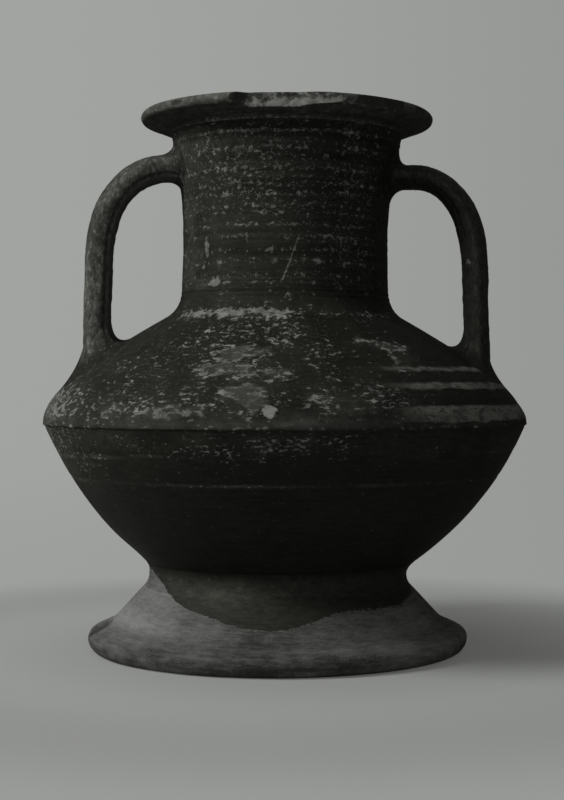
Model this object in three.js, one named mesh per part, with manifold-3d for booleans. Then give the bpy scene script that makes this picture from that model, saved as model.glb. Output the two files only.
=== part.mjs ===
// A two-handled jar on a flared pedestal foot, in millimetres, +Z up.
// The origin is on the table, below the centre of the body. The right handle lies along +X, and
// the left one, which the potter didn't set quite opposite, a little in front of -X.
// The pieces are those that the potter made and luted together: five thrown rings
// (foot, bowl, shoulder, neck and rim), two pulled handles, and the soft clay that
// was pressed into the angles between them.
import * as THREE from "three";
import { mergeVertices } from "three/addons/utils/BufferGeometryUtils.js";
import Module from "manifold-3d";

const wasm = await Module();
wasm.setup();

// Foot: a cone on a rounded lip, hollow underneath.
const FOOT_HEIGHT = 29.5; // table to the joint under the bowl
const FOOT_LIP_RADIUS = 73.4; // outermost edge of the lip
const FOOT_LIP_EDGE_HEIGHT = 4.7; // that edge above the table
const FOOT_LIP_ROUND = 3.2; // rounding over that edge
const FOOT_LIP_UNDERCUT = 4.2; // from that edge in to the flat resting ring
const FOOT_REST_WIDTH = 8; // width of the flat resting ring
const FOOT_CREASE_INSET = 9.6; // from the lip's edge in to the crease where the cone starts
const FOOT_CREASE_RISE = 6.4; // from the lip's edge up to that crease
const FOOT_JOINT_RADIUS = 46.7; // joint between the cone and the bowl
const FOOT_JOINT_WIDTH = 8; // width of the ring on which the bowl sits

// Bowl: the lower body, from its flat floor up to the sharp edge round the belly.
const BOWL_HEIGHT = 57;
const BOWL_BULGE = 5; // how far the wall stands out from a straight line
const FLOOR_THICKNESS = 7;
const BODY_RADIUS = 93.2; // widest part, just above the edge
const BODY_EDGE_INSET = 0.6; // the joint at the edge lies this far inside the widest part
const BODY_WALL = 6.4;

// Shoulder: from the edge round the belly up to the neck.
const SHOULDER_HEIGHT = 44.3;
const SHOULDER_ROLL_RISE = 11; // how long the wall keeps upright above the edge
const SHOULDER_SLOPE_DROP = 20; // how long it keeps its slope below the neck
const SHOULDER_SLOPE_WIDTH = 35.4; // how far that slope runs out over its drop

// Neck: a slightly waisted tube.
const NECK_HEIGHT = 68;
const NECK_RADIUS = 39.7; // at its waist
const NECK_WAIST_RISE = 26; // waist above the shoulder
const NECK_BOTTOM_SPREAD = 0.6;
const NECK_TOP_SPREAD = 5.1;
const NECK_WALL = 6;

// Rim: an out-turned flange with a round lip.
const RIM_HEIGHT = 8.2;
const RIM_OVERHANG = 11.8; // from the top of the neck out to the lip's edge
const RIM_LIP_THICKNESS = 4.2;

// Handles: oval straps, each from the neck out over an arch and down to the shoulder.
const HANDLE_WIDTH = 19;
const HANDLE_STUB = 5.4; // straight start of the handle, out of the neck's wall
const HANDLE_ROOT_DEPTH = 4; // how far its line runs on into the wall, to be trimmed there
const LEFT_HANDLE_TURN = 14; // degrees that it stands in front of the place opposite the right one
const LEFT_HANDLE_THICKNESS = 10.8;
const LEFT_HANDLE_DROP = 13.4; // from the rim's joint down to the middle of the handle
const LEFT_HANDLE_ARCH = 36; // height of its arch
const LEFT_HANDLE_INSET = 20.7; // from the widest part of the body in to the handle's upright
const RIGHT_HANDLE_THICKNESS = 9.4;
const RIGHT_HANDLE_DROP = 17.3;
const RIGHT_HANDLE_ARCH = 31.8;
const RIGHT_HANDLE_INSET = 19.1;

// Luting clay: fillets in the two angles of the wall, and collars round the handles' roots.
const FOOT_FILLET_REACH = 7.5; // how far a fillet runs out of its angle along either wall
const NECK_FILLET_REACH = 6.4;
const COLLAR_LENGTH = 9; // reach of a collar away from the wall
const COLLAR_SPREAD = 3.8; // how far it flares out where it meets the wall
const COLLAR_EDGE = 0.8; // its thickness at the other end, over the bare handle
const LUTE_GAP = 0.3; // clearance between an added piece and what it is pressed on

// The jar isn't quite true: its foot sits to the left of the body and its rim to the right.
const FOOT_OFFSET = -2.5;
const RIM_OFFSET = 0.9;

// Fineness of the round forms.
const LATHE_SEGMENTS = 48;
const CURVE_STEPS = 7; // steps in a long curve of a profile
const ROUND_STEPS = 4; // steps in a small rounding
const HANDLE_SIDES = 16;
const HANDLE_STEPS = 30;
const COLLAR_STEPS = 8;

// Levels of the joints between the thrown pieces.
const FOOT_TOP = FOOT_HEIGHT;
const BODY_EDGE = FOOT_TOP + BOWL_HEIGHT;
const NECK_BASE = BODY_EDGE + SHOULDER_HEIGHT;
const RIM_BASE = NECK_BASE + NECK_HEIGHT;
const JAR_TOP = RIM_BASE + RIM_HEIGHT;

// Radii that neighbouring pieces share.
const EDGE_RADIUS = BODY_RADIUS - BODY_EDGE_INSET;
const NECK_BOTTOM_RADIUS = NECK_RADIUS + NECK_BOTTOM_SPREAD;
const NECK_TOP_RADIUS = NECK_RADIUS + NECK_TOP_SPREAD;
const RIM_LIP_ROUND = RIM_LIP_THICKNESS / 2;
const RIM_LIP_CENTRE = NECK_TOP_RADIUS + RIM_OVERHANG - RIM_LIP_ROUND;

// The two finishes: bare fired clay on the foot, and worn black slip on the rest.
const BARE_CLAY = { color: 0x74746f, roughness: 0.92, metalness: 0 };
const BLACK_SLIP = { color: 0x1e1f1b, roughness: 0.6, metalness: 0 };

// Evenly spaced numbers from one to another, both included.
const steps = (from, to, count) =>
  Array.from({ length: count + 1 }, (_, i) => THREE.MathUtils.lerp(from, to, i / count));

// Profile points: x is the radius and y the height.
const point = (radius, height) => new THREE.Vector2(radius, height);

// Points of part of an ellipse, by its centre, half sizes, and start and end angles.
function ellipse(radius, height, halfWidth, halfHeight, start, end, count) {
  const curve = new THREE.EllipseCurve(radius, height, halfWidth, halfHeight, start, end, end < start);
  return curve.getPoints(count);
}

// Points of the arc between two points whose middle stands out from their chord by the bulge.
// A positive bulge lies to the right of the way from the first point to the second.
function bulgedArc(from, to, bulge) {
  const chord = to.clone().sub(from);
  const side = point(chord.y, -chord.x).normalize();
  const radius = chord.lengthSq() / (8 * bulge) + bulge / 2;
  const centre = from.clone().add(to).multiplyScalar(0.5).addScaledVector(side, bulge - radius);
  const start = Math.atan2(from.y - centre.y, from.x - centre.x);
  const end = Math.atan2(to.y - centre.y, to.x - centre.x);
  return ellipse(centre.x, centre.y, radius, radius, start, end, CURVE_STEPS);
}

const bezier = (a, b, c, d) => new THREE.CubicBezierCurve(a, b, c, d).getPoints(CURVE_STEPS);

// Outside of the foot, from the flat resting ring up to the bowl's joint.
function footOutside() {
  const restRadius = FOOT_LIP_RADIUS - FOOT_LIP_UNDERCUT;
  const edge = FOOT_LIP_EDGE_HEIGHT;
  const round = point(FOOT_LIP_RADIUS - FOOT_LIP_ROUND, edge);
  const crease = point(FOOT_LIP_RADIUS - FOOT_CREASE_INSET, edge + FOOT_CREASE_RISE);
  const slant = crease.clone().sub(round);
  const touch = slant.angle() - Math.acos(FOOT_LIP_ROUND / slant.length());
  return [
    ...ellipse(restRadius, edge, FOOT_LIP_UNDERCUT, edge, -Math.PI / 2, 0, ROUND_STEPS),
    ...ellipse(round.x, round.y, FOOT_LIP_ROUND, FOOT_LIP_ROUND, 0, touch, ROUND_STEPS).slice(1),
    crease,
    point(FOOT_JOINT_RADIUS, FOOT_TOP),
  ];
}

// Outside of the bowl, from its joint on the foot up to the edge round the belly.
const bowlOutside = () =>
  bulgedArc(point(FOOT_JOINT_RADIUS, FOOT_TOP), point(EDGE_RADIUS, BODY_EDGE), BOWL_BULGE);

// A shoulder's curve, from the edge round the belly in to the neck.
function shoulderCurve(edge, top) {
  const roll = point(edge.x, edge.y + SHOULDER_ROLL_RISE);
  const slope = point(top.x + SHOULDER_SLOPE_WIDTH, top.y - SHOULDER_SLOPE_DROP);
  return bezier(edge, roll, slope, top);
}

// Outside of the shoulder: a small step out from the joint, then the curve in to the neck.
const shoulderOutside = () => [
  point(EDGE_RADIUS, BODY_EDGE),
  ...shoulderCurve(
    point(BODY_RADIUS, BODY_EDGE + BODY_EDGE_INSET),
    point(NECK_BOTTOM_RADIUS, NECK_BASE),
  ),
];

// Radius of the neck's outside at a height: a parabola each way from its waist.
function neckRadius(height) {
  const fromWaist = height - NECK_BASE - NECK_WAIST_RISE;
  const above = fromWaist > 0;
  const reach = above ? NECK_HEIGHT - NECK_WAIST_RISE : NECK_WAIST_RISE;
  const spread = above ? NECK_TOP_SPREAD : NECK_BOTTOM_SPREAD;
  return NECK_RADIUS + spread * (fromWaist / reach) ** 2;
}

// Outside of the neck, or its bore, from the shoulder up to the rim.
function neckCurve(inset) {
  const heights = steps(NECK_BASE, RIM_BASE, CURVE_STEPS);
  return heights.map((height) => point(neckRadius(height) - inset, height));
}

// Outside of the rim: a flat slant under the flange, then the round lip up to its top.
function rimOutside() {
  const round = RIM_LIP_ROUND;
  const quarter = Math.PI / 2;
  const lip = ellipse(RIM_LIP_CENTRE, JAR_TOP - round, round, round, -quarter, quarter, 2 * ROUND_STEPS);
  return [point(NECK_TOP_RADIUS, RIM_BASE), ...lip];
}

// A closed ring profile turned about Z. The profile runs up the outside and back down the inside.
function thrown(profile) {
  const loop = [...profile, profile[0]];
  return new THREE.LatheGeometry(loop, LATHE_SEGMENTS).rotateX(Math.PI / 2);
}

// Foot: the inside is a plain hollow cone.
function footGeometry() {
  const restInner = FOOT_LIP_RADIUS - FOOT_LIP_UNDERCUT - FOOT_REST_WIDTH;
  return thrown([
    ...footOutside(),
    point(FOOT_JOINT_RADIUS - FOOT_JOINT_WIDTH, FOOT_TOP),
    point(restInner, 0),
  ]);
}

// Bowl: the inside is an arc like the outside's, down to a flat floor.
function bowlGeometry() {
  const floor = FOOT_TOP + FLOOR_THICKNESS;
  const floorEdge = point(FOOT_JOINT_RADIUS, floor);
  const inside = bulgedArc(floorEdge, point(EDGE_RADIUS - BODY_WALL, BODY_EDGE), BOWL_BULGE);
  return thrown([point(0, FOOT_TOP), ...bowlOutside(), ...inside.reverse(), point(0, floor)]);
}

// Shoulder: the inside follows the outside, then stands upright below the neck's bore.
function shoulderGeometry() {
  const bore = NECK_BOTTOM_RADIUS - NECK_WALL;
  const inside = shoulderCurve(
    point(EDGE_RADIUS - BODY_WALL, BODY_EDGE),
    point(bore, NECK_BASE - BODY_WALL),
  );
  return thrown([...shoulderOutside(), point(bore, NECK_BASE), ...inside.reverse()]);
}

const neckGeometry = () => thrown([...neckCurve(0), ...neckCurve(NECK_WALL).reverse()]);

// Rim: the mouth curves from the top of the lip down into the neck's bore.
function rimGeometry() {
  const bore = NECK_TOP_RADIUS - NECK_WALL;
  const mouth = bezier(
    point(RIM_LIP_CENTRE, JAR_TOP),
    point((RIM_LIP_CENTRE + bore) / 2, JAR_TOP - RIM_LIP_ROUND),
    point(bore, RIM_BASE + RIM_LIP_ROUND),
    point(bore, RIM_BASE),
  );
  return thrown([...rimOutside(), ...mouth.slice(1)]);
}

// Outside of the bare wall from the table to the lip, without the luting clay.
const wall = [
  ...footOutside(),
  ...bowlOutside().slice(1),
  ...shoulderOutside().slice(1),
  ...neckCurve(0).slice(1),
  ...rimOutside().slice(1),
];

// The wall moved out by a clearance, with its corners kept sharp.
function grownWall(clearance) {
  return wall.map((here, i) => {
    const before = here.clone().sub(wall[Math.max(i - 1, 0)]).normalize();
    const after = wall[Math.min(i + 1, wall.length - 1)].clone().sub(here).normalize();
    const along = before.clone().add(after).normalize();
    const straight = i > 0 && i < wall.length - 1 ? along.dot(after) : 1;
    return here.clone().addScaledVector(point(along.y, -along.x), clearance / straight);
  });
}

// Distance from a point outside the wall to the wall, in the plane of the profile.
function distanceToWall(radius, height) {
  const here = new THREE.Vector3(radius, height, 0);
  const nearest = new THREE.Vector3();
  const distances = wall.slice(1).map((to, i) => {
    const from = wall[i];
    const side = new THREE.Line3(new THREE.Vector3(from.x, from.y, 0), new THREE.Vector3(to.x, to.y, 0));
    return side.closestPointToPoint(here, true, nearest).distanceTo(here);
  });
  return Math.min(...distances);
}

// Height of the shoulder's outside at a radius.
function shoulderHeight(radius) {
  const curve = shoulderOutside();
  const i = curve.findIndex((p, k) => k > 1 && p.x <= radius);
  const share = (curve[i - 1].x - radius) / (curve[i - 1].x - curve[i].x);
  return THREE.MathUtils.lerp(curve[i - 1].y, curve[i].y, share);
}

// A geometry as a solid to cut, and a cut solid as a geometry.
function solidOf(geometry) {
  const bare = new THREE.BufferGeometry();
  bare.setAttribute("position", geometry.getAttribute("position"));
  bare.setIndex(geometry.getIndex());
  const merged = mergeVertices(bare, 1e-4);
  const vertProperties = new Float32Array(merged.getAttribute("position").array);
  const triVerts = new Uint32Array(merged.getIndex().array);
  return new wasm.Manifold(new wasm.Mesh({ numProp: 3, vertProperties, triVerts }));
}

function geometryOf(solid) {
  const mesh = solid.getMesh();
  const geometry = new THREE.BufferGeometry();
  geometry.setAttribute("position", new THREE.BufferAttribute(new Float32Array(mesh.vertProperties), 3));
  geometry.setIndex(new THREE.BufferAttribute(new Uint32Array(mesh.triVerts), 1));
  geometry.computeVertexNormals();
  return geometry;
}

// The whole jar without its handles as one full solid, grown by the clearance, to trim pieces with.
const grown = grownWall(LUTE_GAP);
const trimmer = solidOf(
  thrown([point(0, grown[0].y), ...grown, point(0, grown[grown.length - 1].y)]),
);

// A fillet of soft clay in an angle of the wall: its outer face is an arc that touches both sides,
// each at the same reach from the corner.
function filletGeometry(corner, lowerSide, upperSide, reach) {
  const lower = lowerSide.clone().normalize();
  const upper = upperSide.clone().normalize();
  const middle = lower.clone().add(upper).normalize();
  const half = Math.acos(middle.dot(upper));
  const radius = reach * Math.tan(half);
  const centre = corner.clone().addScaledVector(middle, radius / Math.sin(half));
  const touchLower = corner.clone().addScaledVector(lower, reach);
  const touchUpper = corner.clone().addScaledVector(upper, reach);
  const angle = (p) => Math.atan2(p.y - centre.y, p.x - centre.x);
  const start = THREE.MathUtils.euclideanModulo(angle(touchLower), 2 * Math.PI);
  const end = THREE.MathUtils.euclideanModulo(angle(touchUpper), 2 * Math.PI);
  const face = ellipse(centre.x, centre.y, radius, radius, start, end, CURVE_STEPS);
  const behind = corner.clone().addScaledVector(middle, -BODY_WALL / 2);
  return geometryOf(solidOf(thrown([...face, behind])).subtract(trimmer));
}

function footFilletGeometry() {
  const [crease, corner] = footOutside().slice(-2);
  const up = bowlOutside()[1];
  return filletGeometry(corner, crease.clone().sub(corner), up.clone().sub(corner), FOOT_FILLET_REACH);
}

function neckFilletGeometry() {
  const corner = point(NECK_BOTTOM_RADIUS, NECK_BASE);
  const down = point(SHOULDER_SLOPE_WIDTH, -SHOULDER_SLOPE_DROP);
  return filletGeometry(corner, down, point(0, 1), NECK_FILLET_REACH);
}

const UP = new THREE.Vector3(0, 0, 1);

// A strap is one handle's sizes, with its turn round the axis from +X.
const leftStrap = {
  turn: THREE.MathUtils.degToRad(180 + LEFT_HANDLE_TURN),
  thickness: LEFT_HANDLE_THICKNESS,
  height: RIM_BASE - LEFT_HANDLE_DROP,
  arch: LEFT_HANDLE_ARCH,
  reach: BODY_RADIUS - LEFT_HANDLE_INSET,
};
const rightStrap = {
  turn: 0,
  thickness: RIGHT_HANDLE_THICKNESS,
  height: RIM_BASE - RIGHT_HANDLE_DROP,
  arch: RIGHT_HANDLE_ARCH,
  reach: BODY_RADIUS - RIGHT_HANDLE_INSET,
};

// Middle line of a handle in the plane of the axis: x is the distance from the axis, y the height.
// It runs out of the neck, over a quarter of an ellipse, and straight down into the shoulder.
function handleLine({ thickness, height, arch, reach }) {
  const start = neckRadius(height);
  const bend = start + HANDLE_STUB;
  const end = shoulderHeight(reach + thickness / 2) - HANDLE_ROOT_DEPTH;
  const line = new THREE.CurvePath();
  line.add(new THREE.LineCurve(point(start - HANDLE_ROOT_DEPTH, height), point(bend, height)));
  line.add(new THREE.EllipseCurve(bend, height - arch, reach - bend, arch, Math.PI / 2, 0, true));
  line.add(new THREE.LineCurve(point(reach, height - arch), point(reach, end)));
  return line;
}

// One oval ring round a handle's line. The growth of the strap's section is a number, or a
// function of the bare ring's distance from the axis and height.
function ovalRing(strap, line, share, growth) {
  const middle = line.getPointAt(share);
  const tangent = line.getTangentAt(share);
  return Array.from({ length: HANDLE_SIDES }, (_, i) => {
    const angle = (2 * Math.PI * i) / HANDLE_SIDES;
    const place = (extra) => {
      const across = Math.cos(angle) * (strap.thickness / 2 + extra);
      const along = Math.sin(angle) * (HANDLE_WIDTH / 2 + extra);
      const out = middle.clone().addScaledVector(point(-tangent.y, tangent.x), across);
      return new THREE.Vector3(out.x, along, out.y).applyAxisAngle(UP, strap.turn);
    };
    if (typeof growth === "number") return place(growth);
    const bare = place(0);
    return place(growth(Math.hypot(bare.x, bare.y), bare.z));
  });
}

// A closed skin over rings of equally many points, with a flat fan at each end.
function skinned(rings) {
  const sides = rings[0].length;
  const middleOf = (ring) =>
    ring.reduce((sum, p) => sum.add(p), new THREE.Vector3()).divideScalar(sides);
  const points = [...rings.flat(), middleOf(rings[0]), middleOf(rings[rings.length - 1])];
  const first = rings.length * sides;
  const faces = [];
  for (let side = 0; side < sides; side++) {
    const next = (side + 1) % sides;
    for (let ring = 0; ring + 1 < rings.length; ring++) {
      const a = ring * sides + side;
      const b = ring * sides + next;
      faces.push(a, a + sides, b, b, a + sides, b + sides);
    }
    const last = (rings.length - 1) * sides;
    faces.push(first, side, next, first + 1, last + next, last + side);
  }
  return new THREE.BufferGeometry().setFromPoints(points).setIndex(faces);
}

// A handle's solid from end to end of its line, thicker all round by the growth.
const handleSolid = (strap, line, growth) =>
  solidOf(skinned(steps(0, 1, HANDLE_STEPS).map((share) => ovalRing(strap, line, share, growth))));

// A collar of luting clay round a stretch at one end of a handle, flaring out to the wall.
function collarGeometry(strap, line, from, to) {
  const flare = (radius, height) => {
    const near = Math.max(0, 1 - distanceToWall(radius, height) / COLLAR_LENGTH);
    return COLLAR_EDGE + COLLAR_SPREAD * near ** 2;
  };
  const rings = steps(from, to, COLLAR_STEPS).map((share) => ovalRing(strap, line, share, flare));
  const core = handleSolid(strap, line, LUTE_GAP);
  return geometryOf(solidOf(skinned(rings)).subtract(core).subtract(trimmer));
}

// The jar's lean at a height: the foot and the rim are off the body's axis.
function leanAt(height) {
  const below = THREE.MathUtils.clamp((BODY_EDGE - height) / BOWL_HEIGHT, 0, 1);
  const above = THREE.MathUtils.clamp((height - BODY_EDGE) / (JAR_TOP - BODY_EDGE), 0, 1);
  return FOOT_OFFSET * below ** 3 + RIM_OFFSET * above ** 2;
}

// One named piece in its own material, with the lean put into its shape.
function piece(name, geometry, finish) {
  const position = geometry.getAttribute("position");
  for (let i = 0; i < position.count; i++) {
    position.setX(i, position.getX(i) + leanAt(position.getZ(i)));
  }
  const mesh = new THREE.Mesh(geometry, new THREE.MeshStandardMaterial(finish));
  mesh.name = name;
  return mesh;
}

const vessel = new THREE.Group();
vessel.add(
  piece("foot", footGeometry(), BARE_CLAY),
  piece("lower_body", bowlGeometry(), BLACK_SLIP),
  piece("shoulder", shoulderGeometry(), BLACK_SLIP),
  piece("neck", neckGeometry(), BLACK_SLIP),
  piece("rim", rimGeometry(), BLACK_SLIP),
);

const luting = new THREE.Group();
luting.add(
  piece("foot_luting_fillet", footFilletGeometry(), BLACK_SLIP),
  piece("neck_luting_fillet", neckFilletGeometry(), BLACK_SLIP),
);

// A handle with the collars at its two roots.
function handle(name, strap) {
  const line = handleLine(strap);
  const length = line.getLength();
  const upperEnd = (HANDLE_ROOT_DEPTH + COLLAR_LENGTH) / length;
  const collarTop = shoulderHeight(strap.reach - strap.thickness / 2) + COLLAR_LENGTH;
  const lowerStart = 1 - (collarTop - line.getPointAt(1).y) / length;
  const bare = geometryOf(handleSolid(strap, line, 0).subtract(trimmer));
  const group = new THREE.Group();
  group.add(
    piece(`${name}_handle`, bare, BLACK_SLIP),
    piece(`${name}_neck_collar`, collarGeometry(strap, line, 0, upperEnd), BLACK_SLIP),
    piece(`${name}_shoulder_collar`, collarGeometry(strap, line, lowerStart, 1), BLACK_SLIP),
  );
  return group;
}

const jar = new THREE.Group();
jar.add(vessel, luting, handle("left", leftStrap), handle("right", rightStrap));

export default jar;
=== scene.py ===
# %% [markdown]
# # A two-handled jar in worn black slip
#
# A potter threw this jar as five clay rings (foot, bowl, shoulder, neck and rim), stuck them together
# with soft clay, and pulled two straps of clay for the handles. Then the jar was dipped in black slip,
# which has since worn through to the grey clay in thousands of specks. This lesson rebuilds each of those
# pieces as a surface worked out with numpy, and gives it a finish made only of nodes.
#
# The solid model of the jar comes first. It is the fixed frame: every piece here stands where its solid
# stands, and takes its main sizes from it.

import bpy
import numpy as np
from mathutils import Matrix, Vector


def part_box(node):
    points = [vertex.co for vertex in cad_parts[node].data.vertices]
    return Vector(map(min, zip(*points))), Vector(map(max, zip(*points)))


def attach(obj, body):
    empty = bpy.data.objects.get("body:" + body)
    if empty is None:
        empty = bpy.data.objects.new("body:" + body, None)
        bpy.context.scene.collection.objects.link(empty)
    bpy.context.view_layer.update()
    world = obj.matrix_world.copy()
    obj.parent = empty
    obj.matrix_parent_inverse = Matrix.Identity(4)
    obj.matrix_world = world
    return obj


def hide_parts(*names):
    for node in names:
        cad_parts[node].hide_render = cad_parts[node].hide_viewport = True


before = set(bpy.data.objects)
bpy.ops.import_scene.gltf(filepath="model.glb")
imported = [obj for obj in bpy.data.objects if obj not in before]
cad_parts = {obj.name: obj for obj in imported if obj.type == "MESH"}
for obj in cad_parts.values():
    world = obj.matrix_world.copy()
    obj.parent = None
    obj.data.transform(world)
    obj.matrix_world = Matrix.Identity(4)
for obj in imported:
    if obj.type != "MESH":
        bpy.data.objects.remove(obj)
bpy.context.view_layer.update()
print("solids in the frame:", len(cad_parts))

# %% [markdown]
# ## The camera
#
# The jar was photographed from a little above its belly and slightly to its right, with a long lens. A
# camera can be aimed by eye, but here it is worked out: the focal length in pixels becomes a lens for a
# 36 mm sensor, the camera looks level, and a small shift puts the jar where it stands in the picture.
# Keeping the camera level keeps the jar's upright lines upright.

# %% Camera
IMAGE_WIDTH = 564
IMAGE_HEIGHT = 800
FOCAL_PIXELS = 1600
LEVEL_PIXEL = (284.8, 385.0)  # where the camera's own level line of sight meets the picture
CAMERA_TURN = np.radians(8)  # how far the camera stands round to the right of the front
CAMERA_DISTANCE = 0.624  # from the jar's axis, in metres
CAMERA_HEIGHT = 0.1018
SENSOR = 36.0

lens = bpy.data.cameras.new("camera")
lens.sensor_width = SENSOR
lens.lens = SENSOR * FOCAL_PIXELS / IMAGE_HEIGHT
lens.shift_x = (IMAGE_WIDTH / 2 - LEVEL_PIXEL[0]) / IMAGE_HEIGHT
lens.shift_y = (LEVEL_PIXEL[1] - IMAGE_HEIGHT / 2) / IMAGE_HEIGHT
camera = bpy.data.objects.new("camera", lens)
aside = CAMERA_DISTANCE * np.sin(CAMERA_TURN)
camera.location = (aside, -CAMERA_DISTANCE * np.cos(CAMERA_TURN), CAMERA_HEIGHT)
camera.rotation_euler = (np.pi / 2, 0, CAMERA_TURN)
bpy.context.scene.collection.objects.link(camera)
bpy.context.scene.camera = camera
bpy.context.scene.view_settings.view_transform = "Standard"
print("lens:", round(lens.lens, 1), "mm")

# %% [markdown]
# ## Sizes from the frame
#
# A piece that guesses its own place soon drifts away from its neighbours. So the levels of the joints and
# the main radii are read from the boxes of the solids. Lengths are in millimetres from here on, and
# become metres only when a mesh is made.

# %% Levels and radii
MM = 0.001
TURN = 2 * np.pi


def corners(node):
    """Lowest and highest corner of a solid's box, in millimetres."""
    low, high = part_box(node)
    return np.array(low) / MM, np.array(high) / MM


def reach(node):
    """Largest radius of a turned solid: half of its box from front to back."""
    low, high = corners(node)
    return (high[1] - low[1]) / 2


FOOT_TOP = corners("lower_body")[0][2]
BODY_EDGE = corners("shoulder")[0][2]
NECK_BASE = corners("neck")[0][2]
RIM_BASE = corners("rim")[0][2]
JAR_TOP = corners("rim")[1][2]
FOOT_LIP = reach("foot")
EDGE_JOINT = reach("lower_body")
BODY_RADIUS = reach("shoulder")
NECK_TOP_RADIUS = reach("neck")
RIM_RADIUS = reach("rim")
print("joints at", np.round([FOOT_TOP, BODY_EDGE, NECK_BASE, RIM_BASE, JAR_TOP], 1), "mm")
print("radii", np.round([FOOT_LIP, BODY_RADIUS, NECK_TOP_RADIUS, RIM_RADIUS], 1), "mm")

# %% [markdown]
# ## Lines to turn
#
# A thrown pot is a line turned about an axis. The line could be traced point by point, but a few straight
# runs, arcs and Bezier curves say the same thing and stay easy to change. Each helper returns points as
# rows of (radius, height), and `chain` joins them into one line.

# %% Helpers for outlines
STEP = 0.5  # spacing of the points along a visible line


def ease(x):
    """Slow, fast, slow from 0 to 1: three times the square less twice the cube, held at both ends."""
    x = np.clip(x, 0, 1)
    return x * x * (3 - 2 * x)


def run(start, end, step=STEP):
    """Straight run of points from start to end, about one step apart."""
    start, end = np.array(start, float), np.array(end, float)
    count = max(2, int(np.linalg.norm(end - start) / step) + 1)
    return start + (end - start) * np.linspace(0, 1, count)[:, None]


def bend(controls, count):
    """Bezier curve: its control points are averaged in pairs, again and again, down to one point."""
    share = np.linspace(0, 1, count)[:, None]
    points = [np.array(p, float)[None, :] for p in controls]
    while len(points) > 1:
        points = [a + (b - a) * share for a, b in zip(points, points[1:])]
    return points[0]


def arc(centre, half_width, half_height, start, end, count):
    """Part of an ellipse between two angles, in radians."""
    angle = np.linspace(start, end, count)
    return np.stack([centre[0] + half_width * np.cos(angle), centre[1] + half_height * np.sin(angle)], 1)


def bow(start, end, bulge, count):
    """Parabola between two points whose middle stands off their chord, to its right, by the bulge."""
    start, end = np.array(start, float), np.array(end, float)
    chord = end - start
    right = np.array([chord[1], -chord[0]]) / np.linalg.norm(chord)
    share = np.linspace(0, 1, count)[:, None]
    return start + chord * share + right * 4 * bulge * share * (1 - share)


def chain(*parts):
    """One line from several, without the points that follow another at once."""
    points = np.vstack(parts)
    apart = np.linalg.norm(np.diff(points, axis=0), axis=1) > 0.02
    return points[np.concatenate([[True], apart])]


print("helpers ready: run, bend, arc, bow, chain")

# %% [markdown]
# ## The wall's outside
#
# These are the lines that the potter's rib would follow, from the table to the lip. The foot is a cone on a
# rounded toe, the bowl swells up to a sharp edge, the shoulder rolls in to the neck, and the neck is a
# tube with a slight waist that spreads under the rim.

# %% Outlines of the five thrown rings
TOE_EDGE = 4.7  # height of the toe's outermost edge
TOE_ROUND = 3.2
TOE_UNDERCUT = 4.2
REST_WIDTH = 8.0  # width of the ring on which the jar stands
CREASE_INSET = 9.6  # from the toe's edge in to the crease below the cone
CREASE_RISE = 6.4
CREASE_SOFT = (0.22, 0.12)  # shares of the toe's slope and of the cone that the crease rounds off
FOOT_JOINT = 46.7  # radius where the foot meets the bowl
FOOT_JOINT_WIDTH = 8.0
BOWL_BULGE = 5.0
FLOOR = FOOT_TOP + 7.0
BODY_WALL = 6.4
EDGE_STEP = BODY_RADIUS - EDGE_JOINT
ROLL_RISE = 11.0
SLOPE_DROP = 20.0
SLOPE_WIDTH = 35.4
NECK_WAIST = NECK_BASE + 26.0
NECK_RADIUS = 39.7
NECK_SPREAD = 0.6  # how much wider the neck is at its foot than at its waist
NECK_FOOT_RADIUS = NECK_RADIUS + NECK_SPREAD
NECK_WALL = 6.0
LIP_ROUND = 2.1  # half the thickness of the rim's lip
HOLLOW_TURN = (0.5, 1.4)  # where the curve out of the neck turns and ends, from the neck's top
HOLLOW_END = (4.4, 1.9)
RIM_UNDERSIDE = 40  # points of the rim's line that lie under its lip


def foot_outside():
    """Quarter ellipse under the toe, a round over its edge, a softened crease, and the straight cone."""
    toe = arc((FOOT_LIP - TOE_UNDERCUT, TOE_EDGE), TOE_UNDERCUT, TOE_EDGE, -np.pi / 2, 0, 14)
    centre = np.array([FOOT_LIP - TOE_ROUND, TOE_EDGE])
    crease = np.array([FOOT_LIP - CREASE_INSET, TOE_EDGE + CREASE_RISE])
    slant = crease - centre
    touch = np.arctan2(slant[1], slant[0]) - np.arccos(TOE_ROUND / np.linalg.norm(slant))
    over = arc(centre, TOE_ROUND, TOE_ROUND, 0, touch, 12)
    joint = np.array([FOOT_JOINT, FOOT_TOP])
    before = crease + (over[-1] - crease) * CREASE_SOFT[0]
    after = crease + (joint - crease) * CREASE_SOFT[1]
    return chain(toe, over, run(over[-1], before), bend([before, crease, after], 9), run(after, joint))


def bowl_outside():
    """Parabola from the foot's joint up to the edge round the belly."""
    return bow((FOOT_JOINT, FOOT_TOP), (EDGE_JOINT, BODY_EDGE), BOWL_BULGE, 130)


def shoulder_curve(edge, top, count):
    """Bezier curve that leaves the edge upright and reaches the neck on the shoulder's own slope."""
    roll = (edge[0], edge[1] + ROLL_RISE)
    slope = (top[0] + SLOPE_WIDTH, top[1] - SLOPE_DROP)
    return bend([edge, roll, slope, top], count)


def shoulder_outside():
    """A small step out over the bowl, then the curve in to the neck."""
    edge = (BODY_RADIUS, BODY_EDGE + EDGE_STEP)
    lip = bend([(EDGE_JOINT, BODY_EDGE), (BODY_RADIUS, BODY_EDGE + 0.1), edge], 5)
    return chain(lip, shoulder_curve(edge, (NECK_FOOT_RADIUS, NECK_BASE), 160))


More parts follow.
